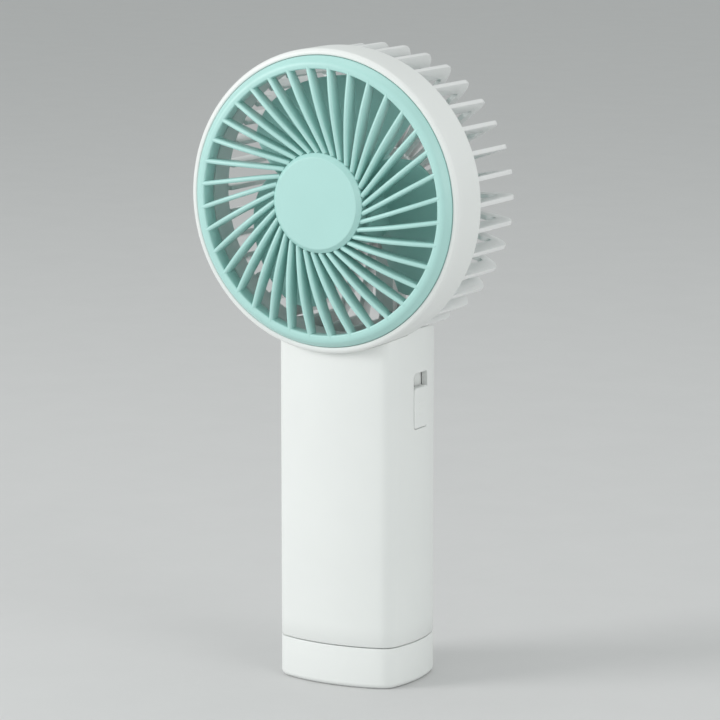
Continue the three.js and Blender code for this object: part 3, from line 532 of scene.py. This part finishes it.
def outline_point(column, inset=0.0):
    """A column's place in plan, moved inward by inset."""
    kind, value = column
    corner_radius = CORNER_RADIUS - inset
    if kind in ("side", "far_side"):
        angle = math.asin(value / SIDE_FACE_RADIUS)
        radius = SIDE_FACE_RADIUS - inset
        x = SIDE_CENTRE.x + radius * math.cos(angle)
        return Vector((x if kind == "side" else -x, radius * math.sin(angle)))
    if kind in ("rear", "front"):
        angle = math.asin(value / FRONT_FACE_RADIUS)
        radius = FRONT_FACE_RADIUS - inset
        y = FACE_CENTRE.y + radius * math.cos(angle)
        return Vector((radius * math.sin(angle), y if kind == "rear" else -y))
    fraction = value if kind in ("corner", "far_front_corner") else 1 - value
    angle = SIDE_ANGLE + (FACE_ANGLE - SIDE_ANGLE) * fraction
    point = CORNER_CENTRE + Vector((math.cos(angle), math.sin(angle))) * corner_radius
    if kind in ("far_corner", "far_front_corner"):
        point.x = -point.x
    if kind in ("far_front_corner", "front_corner"):
        point.y = -point.y
    return point


COLUMNS = outline_columns()


def seat_z(x, y):
    """The height of the handle's top, dished to carry the drum in front and the ribs behind."""
    step = (y - SEAT_STEP_Y[0]) / (SEAT_STEP_Y[1] - SEAT_STEP_Y[0])
    step = min(1.0, max(0.0, step))
    radius = DRUM_SEAT + (RIB_SEAT - DRUM_SEAT) * step
    return AXIS_Z - math.sqrt(radius ** 2 - x ** 2)


def level(inset, height):
    """The handle's outline at one height."""
    return [Vector((*outline_point(column, inset), height)) for column in COLUMNS]


def top_level(inset, drop):
    """The handle's outline just under its dished top."""
    loop = []
    for column in COLUMNS:
        x, y = outline_point(column, inset)
        loop.append(Vector((x, y, seat_z(x, y) - drop)))
    return loop


def hole_patch(shape, surface, loop_columns, loop_rows, hole, depth, rim):
    """Fills a rectangular gap in a wall round a hole: surface(u, v, inset) is the wall.

    Gives back pairs of points, one on the gap's edge and one on the hole's outline.
    """
    u0, u1 = loop_columns[0], loop_columns[-1]
    v0, v1 = loop_rows[0], loop_rows[-1]
    edge_loop = [(u, v0) for u in loop_columns[:-1]] + [(u1, v) for v in loop_rows[:-1]]
    edge_loop += [(u, v1) for u in reversed(loop_columns[1:])] + [(u0, v) for v in reversed(loop_rows[1:])]
    centre = Vector(((u0 + u1) / 2, (v0 + v1) / 2))
    middle = Vector((sum(p.x for p in hole), sum(p.y for p in hole))) / len(hole)
    pairs = [(p, nearest_on(hole, middle, Vector(p) - centre)) for p in edge_loop]
    loops = []
    for blend in (0.0, 0.35, 0.7):
        loops.append([surface(*Vector(p).lerp(q, blend), 0.0) for p, q in pairs])
    for out, sunk in quarter_round(5):
        loops.append([surface(*grown(q, middle, rim * out), rim * sunk) for _, q in pairs])
    loops.append([surface(*q, depth) for _, q in pairs])
    shape.add(rings(loops, False, False))
    return pairs


def grown(point, middle, amount):
    """A point moved straight away from the middle."""
    away = point - middle
    return middle + away * (1 + amount / max(away.length, 1e-6))


def nearest_on(outline, middle, direction):
    """Where a ray from the middle crosses an outline."""
    best = None
    for i, a in enumerate(outline):
        b = outline[(i + 1) % len(outline)]
        edge = b - a
        cross = direction.x * edge.y - direction.y * edge.x
        if abs(cross) < 1e-9:
            continue
        offset = a - middle
        t = (offset.x * edge.y - offset.y * edge.x) / cross
        s = (offset.x * direction.y - offset.y * direction.x) / cross
        if t > 0 and -1e-6 <= s <= 1 + 1e-6:
            best = middle + direction * t
    return best


def side_surface(y, z, inset):
    """A point on the handle's +X side, moved inward by inset."""
    return Vector((side_x(y) - inset, y, z))


def rear_surface(x, z, inset):
    """A point on the handle's rear face, moved inward by inset."""
    return Vector((x, face_y(x) - inset, z))


def within(value, bounds):
    """Whether a value lies between the first and last of some sorted bounds."""
    tiny = 1e-6
    return bounds[0] - tiny <= value <= bounds[-1] + tiny


def build_roof(rim_loop):
    """The dished top inside a loop, drawn in towards the middle."""
    roof = [rim_loop]
    for scale in (0.8, 0.6, 0.4, 0.2, 0.03):
        plan = [(p.x * scale, p.y * scale) for p in rim_loop]
        roof.append([Vector((x, y, seat_z(x, y))) for x, y in plan])
    return rings(roof, False, True)


def build_handle_shell():
    """The hollow handle: wall, round edges, dished top, and openings for switch, port and charge light."""
    slot_rows = even(SLOT_BOTTOM - SLOT_MARGIN, SLOT_TOP + SLOT_MARGIN, 14)
    port_rows = even(PORT_Z - PORT_PATCH_HALF, PORT_Z + PORT_PATCH_HALF, 8)
    light_rows = even(LIGHT_Z - PORT_PATCH_HALF, LIGHT_Z + PORT_PATCH_HALF, 8)
    between_rows = even(LIGHT_Z + 8, SLOT_BOTTOM - 6, 6)
    heights = [*port_rows, *light_rows, *between_rows, *slot_rows, SLOT_TOP + 4]
    bottom_edge, top_edge, recess, top_start = 0.35, 0.2, 4, 1.6
    loops = [level(WALL, SHELL_BOTTOM + recess), level(WALL, SHELL_BOTTOM)]
    for side, up in quarter_round(4)[:-1]:
        loops.append(level(bottom_edge * side, SHELL_BOTTOM + bottom_edge * up))
    first_row = len(loops)
    loops += [level(0, z) for z in heights]
    loops.append(top_level(0, top_start))
    loops += [top_level(top_edge * side, top_edge * down) for down, side in quarter_round(5)]
    loops += [top_level(inset, 0) for inset in (1.2, 2.4, 3.6)]
    shape = rings(loops, True, False)
    shape.add(build_roof(loops[-1]))

    def cut(kind, patch, rows, surface, hole, rim):
        """Leaves out the faces in a rectangle of the wall and fills round the hole."""
        columns = [i for i, (face, place) in enumerate(COLUMNS) if face == kind and within(place, patch)]
        wall_rows = [first_row + i for i, z in enumerate(heights) if within(z, rows)]
        inside = {row * len(COLUMNS) + column for row in wall_rows for column in columns}
        shape.faces = [f for f in shape.faces if not all(i in inside for i in f)]
        places = sorted(COLUMNS[i][1] for i in columns)
        hole_patch(shape, surface, places, rows, hole, WALL, rim)

    slot_z = (SLOT_TOP + SLOT_BOTTOM) / 2
    slot = round_rectangle(SLOT_WIDTH, SLOT_TOP - SLOT_BOTTOM, SLOT_CORNER, SWITCH_Y, slot_z)
    port = round_rectangle(PORT_WIDTH, PORT_HEIGHT, PORT_CORNER, 0, PORT_Z)
    light = [Vector((0, LIGHT_Z)) + polar(LIGHT_RADIUS, 360 * k / 48) for k in range(48)]
    cut("side", SLOT_PATCH_Y, slot_rows, side_surface, slot, 0.3)
    cut("rear", PORT_PATCH_X, port_rows, rear_surface, port, 0.35)
    cut("rear", PORT_PATCH_X, light_rows, rear_surface, light, 0.25)
    return shape


finish_piece(build_handle_shell(), "handle_shell_moulding", WHITE, "body", ["handle_shell"],
             40)


def build_base_cap():
    """The cap below the seam, with a rim that plugs into the handle and a hollow inside."""
    edge, fillet, floor_z = 0.3, 1.75, 3.2
    hollow, plug, plug_top = WALL + 1.6, WALL + GAP, SEAM_Z + 2.2
    outside = [level(hollow, plug_top), level(plug, plug_top), level(plug, SEAM_Z)]
    outside += [level(edge * side, SEAM_Z - edge * down) for side, down in quarter_round(4)]
    outside += [level(fillet * side, fillet * up) for up, side in quarter_round(10)]
    shape = rings(outside, False, True)
    shape.add(rings([level(hollow, plug_top), level(hollow, floor_z)], False, True))
    return shape


base_cap = finish_piece(build_base_cap(), "base_cap_moulding", WHITE, "body", ["base_cap"],
                        40)


def cut_base_holes(obj):
    """Counterbores for the two screws in the flat underside."""
    bore, recess, depth, flare, below, above = 1.25, 2.5, 1.8, 0.25, -1, 5
    profile = [(0, below), (recess + flare, below), (recess, flare), (recess, depth), (bore, depth),
               (bore, above), (0, above)]
    for side in ("left", "right"):
        middle = centre_of(f"base_screw_{side}")
        cutter = make(f"cutter_{side}", turned(profile, 48, "Z", (middle.x, middle.y, 0)), WHITE)
        modifier = obj.modifiers.new("hole", "BOOLEAN")
        modifier.object = cutter
        modifier.solver = "EXACT"
        apply_modifiers(obj)
        bpy.data.objects.remove(cutter)
    obj.data.shade_smooth()
    obj.data.set_sharp_from_angle(angle=math.radians(40))


def apply_modifiers(obj):
    """Replaces an object's mesh by what its modifiers make of it."""
    depsgraph = bpy.context.evaluated_depsgraph_get()
    mesh = bpy.data.meshes.new_from_object(obj.evaluated_get(depsgraph))
    obj.modifiers.clear()
    obj.data = mesh


cut_base_holes(base_cap)


# ---------- slide switch ----------

def build_knob():
    """The thumb piece: its face follows the handle's side, a little proud, with round edges."""
    middle = Vector((SWITCH_Y, (knob_low.z + knob_high.z) / 2))
    edge, corner, ridge_pitch = 0.55, 1.1, 1.9

    def outline(shrink):
        width, height = knob_high.y - knob_low.y, knob_high.z - knob_low.z
        return round_rectangle(width - 2 * shrink, height - 2 * shrink, corner - shrink, *middle)

    loops = [[Vector((knob_low.x, p.x, p.y)) for p in outline(0)]]
    for sunk, shrink in quarter_round(6):
        loops.append([knob_face(p, -edge * sunk) for p in outline(edge * shrink)])
    for scale in (0.8, 0.55, 0.3, 0.06):
        loops.append([knob_face(middle + (p - middle) * scale) for p in outline(edge)])
    shape = rings(loops)
    for k in (-1, 0, 1):
        shape.add(grip_ridge(middle.y + ridge_pitch * k))
    return shape


def knob_face(point, raised=0.0):
    """A point on the thumb piece's face, which stands a little proud of the handle's side."""
    proud = 0.3
    return Vector((side_x(point.x) + proud + raised, point.x, point.y))


def grip_ridge(z):
    """One low pill-shaped ridge across the thumb piece."""
    length, height, corner, soft, rise, root = 4.4, 0.8, 0.39, 0.3, 0.16, 0.1
    loops = []
    for below, narrow in quarter_round(5):
        shrink = soft * narrow
        outline = round_rectangle(length - 2 * shrink, height - 2 * shrink, corner - shrink, SWITCH_Y, z)
        loops.append([knob_face(p, rise * (1 - below) - root) for p in outline])
    return rings(loops)


finish_piece(build_knob(), "switch_thumb_piece", WHITE, "switch_slider", ["switch_knob"], 40)


def build_track():
    """The trough behind the switch opening, with the slit that the stem runs in."""
    floor_x, trough, thickness, behind_x = track_low.x + 0.4, 8.5, 0.9, track_low.x - 0.4
    slit_width, slit_height, slit_corner, slit_z = 2.6, 12.6, 1.2, 91

    def surface(y, z, inset):
        reach = min(abs(y - SWITCH_Y), trough - 0.01)
        x = floor_x + trough - math.sqrt(trough ** 2 - reach ** 2)
        return Vector((min(x, side_x(y, WALL + GAP)) - inset, y, z))

    shape = Shape([], [])
    columns = even(track_low.y, track_high.y, 26)
    rows = even(track_low.z, track_high.z, 20)
    slit = round_rectangle(slit_width, slit_height, slit_corner, SWITCH_Y, slit_z)
    pairs = hole_patch(shape, surface, columns, rows, slit, thickness, 0.15)
    behind = [Vector((behind_x, *q)) for _, q in pairs]
    side = [Vector((track_low.x, *p)) for p, _ in pairs]
    front = [surface(*p, 0.0) for p, _ in pairs]
    slit_wall = [surface(*q, thickness) for _, q in pairs]
    shape.add(rings([behind, side, front], False, False))
    shape.add(rings([slit_wall, behind], False, False))
    return shape


finish_piece(build_track(), "switch_trough", WHITE, "body", ["switch_track"], 40)


# ---------- head shell and grille ----------

def build_drum():
    """The round shell with its lip, the seat for the grille and the groove for the grille's lugs."""
    groove = DRUM_BORE + 0.8
    return head_turned([
        (LIP_BORE, DRUM_FRONT, 0.4), (HEAD_RADIUS, DRUM_FRONT, 1.4), (HEAD_RADIUS, DRUM_BACK, 0.5),
        (DRUM_BORE, DRUM_BACK, 0.35), (DRUM_BORE, GROOVE_BACK, 0), (groove, GROOVE_BACK, 0),
        (groove, GROOVE_FRONT, 0), (DRUM_BORE, GROOVE_FRONT, 0), (DRUM_BORE, GRILLE_SEAT, 0.1),
        (LIP_BORE, GRILLE_SEAT, 0),
    ], 288, 8)


finish_piece(build_drum(), "drum_moulding", WHITE, "body", ["drum_shell"], 35)

SPOKES = 36
SPOKE_FIRST = 5.2
SPOKE_LEAN = 585
SPOKE_HALF = 0.72
SPOKE_BACK = -20.8
SPOKE_HUB_FRONT = -24.9
SPOKE_RING_FRONT = -24.6
SPOKE_BULGE = 1.4
SPOKE_START = BADGE_RADIUS - 0.6


def spoke_point(radius):
    """Where a spoke runs, seen from the front: nearly a straight line that passes beside the centre."""
    return polar(radius, SPOKE_FIRST + SPOKE_LEAN * (1 / RING_INNER - 1 / radius))


def spoke_front(radius):
    """How far forward a spoke's front edge is: it bulges between the centre and the ring."""
    if radius < BADGE_RADIUS:
        return badge_high.y + 0.1
    t = min(1.0, (radius - BADGE_RADIUS) / (RING_INNER - BADGE_RADIUS))
    return SPOKE_HUB_FRONT + (SPOKE_RING_FRONT - SPOKE_HUB_FRONT) * t - SPOKE_BULGE * math.sin(math.pi * t)


def build_spoke():
    """One spoke: a round front edge, deep flanks that thin a little towards the back, and a flat back."""
    loops = []
    bends, reach, nudge = 10, 0.9, 0.05
    narrow, flat, chamfer_y = SPOKE_HALF * 0.86, SPOKE_HALF * 0.6, SPOKE_BACK - 0.25
    arc = [math.pi * k / bends for k in range(bends + 1)]
    for radius in [SPOKE_START, BADGE_RADIUS - 0.01, *even(BADGE_RADIUS + 0.02, RING_INNER + reach, 33)]:
        here = spoke_point(radius)
        along = (spoke_point(radius + nudge) - spoke_point(radius - nudge)).normalized()
        across = Vector((-along.y, along.x))
        front = spoke_front(radius) + SPOKE_HALF
        section = [(SPOKE_HALF * math.cos(angle), front - SPOKE_HALF * math.sin(angle)) for angle in arc]
        section += [(-narrow, chamfer_y), (-flat, SPOKE_BACK), (flat, SPOKE_BACK), (narrow, chamfer_y)]
        loop = []
        for side, y in section:
            place = here + across * side
            loop.append(Vector((place.x, y, AXIS_Z + place.y)))
        loops.append(loop)
    return rings(loops)


def build_grille():
    """The ring with its skirt, the plate behind the disc, and the spokes between them."""
    back, skirt_outer, skirt_inner = GRILLE_SEAT - GAP, DRUM_BORE - 0.12, DRUM_BORE - 1.5
    slope_width, slope_depth = 2.2, 2.4
    shape = head_turned([
        (RING_INNER, RING_FRONT, 0.5), (RING_INNER + slope_width, RING_FRONT, 2.2),
        (RING_EDGE, RING_FRONT + slope_depth, 1.4), (RING_EDGE, back, 0.2), (skirt_outer, back, 0),
        (skirt_outer, SKIRT_BACK, 0.1), (skirt_inner, SKIRT_BACK, 1), (skirt_inner, back, 0.5),
        (RING_INNER, back, 0.35),
    ], 288, 8)
    plate_radius = BADGE_RADIUS - 0.2
    plate_front = badge_high.y + GAP
    plate_back = plate_front + 3.6
    shape.add(head_turned([(0, plate_front, 0), (plate_radius, plate_front, 0.3),
                           (plate_radius, plate_back, 0.8), (0, plate_back, 0)], 144))
    spoke = build_spoke()
    for i in range(SPOKES):
        shape.add(spoke, spin(360 / SPOKES * i))
    return shape


def build_badge():
    """The plain disc in the grille's middle, with a sloped edge."""
    front, back = badge_low.y, badge_high.y
    return head_turned([(0, front, 0), (BADGE_RADIUS - 1.3, front, 0.5), (BADGE_RADIUS, front + 1.35, 0.6),
                        (BADGE_RADIUS, back, 0.1), (0, back, 0)], 192, 8)


finish_piece(build_grille(), "front_grille_moulding", MINT, "grille", ["front_grille"], 40)
finish_piece(build_badge(), "grille_centre_disc", MINT, "grille", ["grille_badge"], 40)


# ---------- rear cage ----------

RIBS = 36
RIB_HALF = 0.75
CAGE_RING_OUTER = DRUM_BORE - GAP
CAGE_RING_INNER = CAGE_RING_OUTER - 1.1
CAGE_RING_FRONT = SKIRT_BACK + 0.15
RIB_ROOT = HUB_PLATE_RADIUS - 1.4


def build_rib():
    """One L-shaped rib with soft edges, in the plane of the head's axis, and its tongue into the drum."""
    tongue = DRUM_BACK - 1
    outline = rounded([
        (CAGE_RING_INNER, tongue, 0), (CAGE_RING_OUTER, tongue, 0),
        (CAGE_RING_OUTER, RIB_START, 0), (RIB_OUTER, RIB_START, 0.25), (RIB_OUTER, RIB_BACK, 4.2),
        (RIB_ROOT, CAGE_BACK, 0), (RIB_ROOT, REAR_LEG_FRONT, 0),
        (RIB_INNER - 2.8, REAR_LEG_FRONT, 1.6), (RIB_INNER, RIB_CORNER_FRONT, 1), (RIB_INNER, RIB_START, 0.4),
        (CAGE_RING_INNER, RIB_START, 0),
    ], 8)
    soft = 0.32
    layers = [(soft * side, soft * up - RIB_HALF) for side, up in quarter_round(3)]
    layers += [(inset, -z) for inset, z in reversed(layers)]
    loops = []
    for inset, z in layers:
        loops.append([Vector((p.x, p.y, AXIS_Z + z)) for p in offset_outline(outline, inset)])
    return rings(loops)


def offset_outline(outline, amount):
    """The outline moved inward by an amount, corner by corner."""
    area = sum(a.x * b.y - b.x * a.y for a, b in zip(outline, outline[1:] + outline[:1]))
    side = 1 if area > 0 else -1
    moved = []
    for i, here in enumerate(outline):
        before = (here - outline[i - 1]).normalized()
        after = (outline[(i + 1) % len(outline)] - here).normalized()
        inward = Vector((-(before.y + after.y), before.x + after.x)) * side
        inward.normalize()
        normal = Vector((-before.y, before.x)) * side
        moved.append(here + inward * amount / max(0.5, inward.dot(normal)))
    return moved


def build_cage():
    """The ring inside the drum, the ribs, and the plate that carries the motor."""
    plate_front, cap_seat, rim = cap_low.y - 3, cap_low.y - GAP, HUB_PLATE_RADIUS - 2
    shape = head_turned([
        (CAGE_RING_INNER, CAGE_RING_FRONT, 0.2), (CAGE_RING_OUTER, CAGE_RING_FRONT, 0.2),
        (CAGE_RING_OUTER, DRUM_BACK, 0.2), (CAGE_RING_INNER, DRUM_BACK, 0.3),
    ], 216)
    rib = build_rib()
    for i in range(RIBS):
        shape.add(rib, spin(360 / RIBS * i))
    shape.add(head_turned([
        (0, plate_front, 0), (HUB_PLATE_RADIUS, plate_front, 0.6), (HUB_PLATE_RADIUS, CAGE_BACK, 0.5),
        (rim, CAGE_BACK, 0.3), (rim, cap_seat, 0.2), (0, cap_seat, 0),
    ], 144))
    return shape


def build_hub_cap():
    """The round cap in the middle of the back."""
    return head_turned([(0, cap_low.y, 0), (cap_high.x, cap_low.y, 0.1), (cap_high.x, CAGE_BACK, 0.6),
                        (0, CAGE_BACK, 0)], 144)


finish_piece(build_cage(), "rear_cage_moulding", WHITE_CAGE, "body", ["rear_cage"], 25)
finish_piece(build_hub_cap(), "rear_hub_cap_disc", WHITE_CAGE, "body", ["rear_hub_cap"],
             40)


# ---------- impeller ----------

BLADES = 3
BLADE_TIP = 37.6
BLADE_LEAD = 53
HUB_OUTER = 15.5


def blade_sweep(radius):
    """How many degrees a blade spans at a radius."""
    near_hub, hub_radius, loss_per_mm = 107, 20, 1.2
    return near_hub - loss_per_mm * (radius - hub_radius)


def edge_steps(count, ends=(True, True)):
    """Positions from 0 to 1, gathered towards the chosen ends."""
    positions = []
    for i in range(count + 1):
        t = i / count
        if all(ends):
            t = 0.5 - 0.5 * math.cos(math.pi * t)
        elif ends[1]:
            t = math.sin(math.pi / 2 * t)
        positions.append(t)
    return positions


def build_blade():
    """A broad, twisted blade with thin round edges."""
    thickness, thinning, edge_width, tip_rounding, curve = 1.3, 0.38, 0.9, 5, 0.9
    root = HUB_OUTER - 0.7
    us = edge_steps(40)
    vs = edge_steps(18, (False, True))
    lead_y = wheel_high.y - 0.6
    trail_y = wheel_low.y + 1.6
    sheets = []
    for side in (-1, 1):
        sheet = []
        for v in vs:
            for u in us:
                tip = BLADE_TIP - tip_rounding * abs(2 * u - 1) ** 5
                radius = root + (tip - root) * v
                place = polar(radius, BLADE_LEAD + u * blade_sweep(radius))
                y = lead_y + (trail_y - lead_y) * u ** curve
                chord = math.radians(blade_sweep(radius)) * radius
                margin = min(u * chord, (1 - u) * chord, (1 - v) * (tip - root)) / edge_width
                round_off = math.sqrt(max(0.0, 1 - (1 - min(1.0, margin)) ** 2))
                thick = thickness * (1 - thinning * v) * round_off
                sheet.append(Vector((place.x, y + side * thick / 2, AXIS_Z + place.y)))
        sheets.append(sheet)
    row = len(us)
    faces = []
    total = len(sheets[0])
    for i in range(len(vs) - 1):
        for j in range(row - 1):
            k = i * row + j
            faces.append([k, k + 1, k + row + 1, k + row])
            faces.append([total + k, total + k + row, total + k + row + 1, total + k + 1])
    for j in range(row - 1):
        faces.append([j, total + j, total + j + 1, j + 1])
    return Shape(sheets[0] + sheets[1], faces)


def build_impeller():
    """The hub, a cup with a boss for the shaft, and its blades."""
    bore, boss, hub_inner = 1.3, 4, HUB_OUTER - 1.2
    front, floor, boss_back, back = wheel_low.y, wheel_low.y + 1.5, wheel_low.y + 3.7, wheel_high.y
    shape = head_turned([
        (bore, front, 0.2), (HUB_OUTER, front, 1.8), (HUB_OUTER, back, 0.3), (hub_inner, back, 0.2),
        (hub_inner, floor, 0.3), (boss, floor, 0.2), (boss, boss_back, 0.1), (bore, boss_back, 0.1),
    ], 144)
    blade = build_blade()
    for i in range(BLADES):
        shape.add(blade, spin(360 / BLADES * i))
    return shape


finish_piece(build_impeller(), "impeller_moulding", MINT_BLADE, "rotor", ["impeller"], 40)


def build_nut():
    """The domed nut in front of the hub."""
    return head_turned([(0, nut_low.y, 0), (nut_high.x, nut_low.y, 0.9), (nut_high.x, nut_high.y, 0.1),
                        (0, nut_high.y, 0)], 48)


finish_piece(build_nut(), "impeller_nut_dome", STEEL, "rotor", ["impeller_nut"], 40)


# ---------- motor ----------

def build_can():
    """The motor's drawn steel cup."""
    low, high = span("rotor_can")
    bore, outer, sheet = 1.3, high.x, 0.8
    return head_turned([
        (bore, low.y, 0.1), (outer, low.y, 1.2), (outer, high.y, 0.2), (outer - sheet, high.y, 0.2),
        (outer - sheet, low.y + sheet, 0.5), (bore, low.y + sheet, 0.1),
    ], 144)


def axle_ring(node, inner, outer, soft, segments):
    """A plain ring on the head's axis, or a pin if it has no inner radius, as long as its CAD node."""
    low, high = span(node)
    inner_soft = soft if inner else 0
    return head_turned([(inner, low.y, inner_soft), (outer, low.y, soft), (outer, high.y, soft),
                        (inner, high.y, inner_soft)], segments)


def build_motor_pieces():
    magnet = axle_ring("rotor_magnet", 11.4, 12.9, 0.2, 144)
    shaft = axle_ring("motor_shaft", 0, 1, 0.25, 48)
    finish_piece(build_can(), "rotor_can_drawn", STEEL, "rotor", ["rotor_can"])
    finish_piece(magnet, "rotor_magnet_ring", MAGNET, "rotor", ["rotor_magnet"])
    finish_piece(shaft, "motor_shaft_pin", STEEL, "rotor", ["motor_shaft"])
    for node in ("bearing_front", "bearing_rear"):
        finish_piece(axle_ring(node, 1.25, 2.9, 0.2, 64), f"{node}_bush", STEEL, "body", [node])


build_motor_pieces()


def lead_points(node):
    """The route of a motor lead, as the CAD model lays it: up from the board and on to the motor."""
    x = centre_of(node).x
    board_y, channel_y, motor_y, end = 9.65, 12.4, 9.7, AXIS_Z - 12.4
    return [(x, board_y, 71), (x, board_y, 76), (x, channel_y, 84), (x, channel_y, 100),
            (x, channel_y, end - 6), (x, 11.6, end - 2.4), (x, motor_y, end)]


LEAD_RADIUS = 0.5
for lead in ("motor_lead_1", "motor_lead_2", "motor_lead_3"):
    wire = tube(lead_points(lead), LEAD_RADIUS)
    finish_piece(wire, f"{lead}_wire", WHITE_WIRE, "body", [lead])


# ---------- carried-over CAD nodes ----------

CARRIED = {
    GREY: ["inner_frame", "switch_ribbon"],
    CELL_WRAP: ["battery_cell_left", "battery_cell_right"],
    NICKEL: ["battery_strap_bottom", "battery_strap_left", "battery_strap_right"],
    BOARD: ["main_board", "switch_board", "motor_board"],
    STEEL: ["usb_port_shell", "slide_switch_body", "base_screw_left", "base_screw_right", "neck_screw_left",
            "neck_screw_right", "board_screw_left", "board_screw_right", "motor_screw_1", "motor_screw_2",
            "motor_screw_3"],
    BLACK: ["usb_port_tongue", "motor_driver_chip", "charger_chip", "switch_actuator"],
    FERRITE: ["boost_inductor"],
    CLEAR: ["charge_led", "led_light_pipe"],
    STEEL_DARK: ["stator_core"],
    ALUMINIUM: ["motor_base"],
    WHITE_CAGE: ["wire_cover"],
    COPPER: [f"stator_winding_{i}" for i in range(1, 7)],
    RED_WIRE: ["battery_lead_red"],
    BLACK_WIRE: ["battery_lead_black"],
}
for material, names in CARRIED.items():
    for name in names:
        for entry in NODES[name].material_slots:
            entry.material = material


# ---------- floor, light, camera ----------

def build_floor():
    """A pale floor, wide enough to fill every view."""
    half = 6000
    square = Shape([(-half, -half, 0), (half, -half, 0), (half, half, 0), (-half, half, 0)], [[0, 1, 2, 3]])
    make("floor", square, moulded_plastic("floor_pale", (0.64, 0.64, 0.64), 0.7, 0.02, 0.01))


build_floor()


def area_light(name, place, size, power):
    """A soft round light that shines on the fan's middle. Metres and watts."""
    aim = Vector((0, 0, 0.1))
    light = bpy.data.lights.new(name, "AREA")
    light.shape = "DISK"
    light.size = size
    light.energy = power
    obj = bpy.data.objects.new(name, light)
    obj.location = place
    obj.rotation_euler = (aim - Vector(place)).to_track_quat("-Z", "Y").to_euler()
    bpy.context.scene.collection.objects.link(obj)


def build_lights():
    """A key light, a weaker fill, a top light and an even surround."""
    area_light("key_left", (-1.1, -1.05, 0.6), 0.8, 14)
    area_light("fill_right", (1.35, -0.45, 0.5), 1.0, 6)
    area_light("top", (0.0, 0.1, 1.5), 1.0, 3)
    world = bpy.data.worlds.new("studio")
    world.use_nodes = True
    surround = world.node_tree.nodes["Background"]
    surround.inputs["Color"].default_value = (0.93, 0.97, 0.96, 1)
    surround.inputs["Strength"].default_value = 0.6
    bpy.context.scene.world = world
    bpy.context.scene.view_settings.view_transform = "Standard"


def build_camera():
    """The photo's view, as fitted to its circles and edges. Metres."""
    place, target = Vector((0.5478, -0.9773, 0.2984)), Vector((0.00505, -0.00746, 0.1022))
    camera = bpy.data.cameras.new("camera")
    camera.lens = 181.6
    camera.sensor_width = 36
    viewer = bpy.data.objects.new("camera", camera)
    viewer.location = place
    viewer.rotation_euler = (target - place).to_track_quat("-Z", "Y").to_euler()
    bpy.context.scene.collection.objects.link(viewer)
    bpy.context.scene.camera = viewer


build_lights()
build_camera()
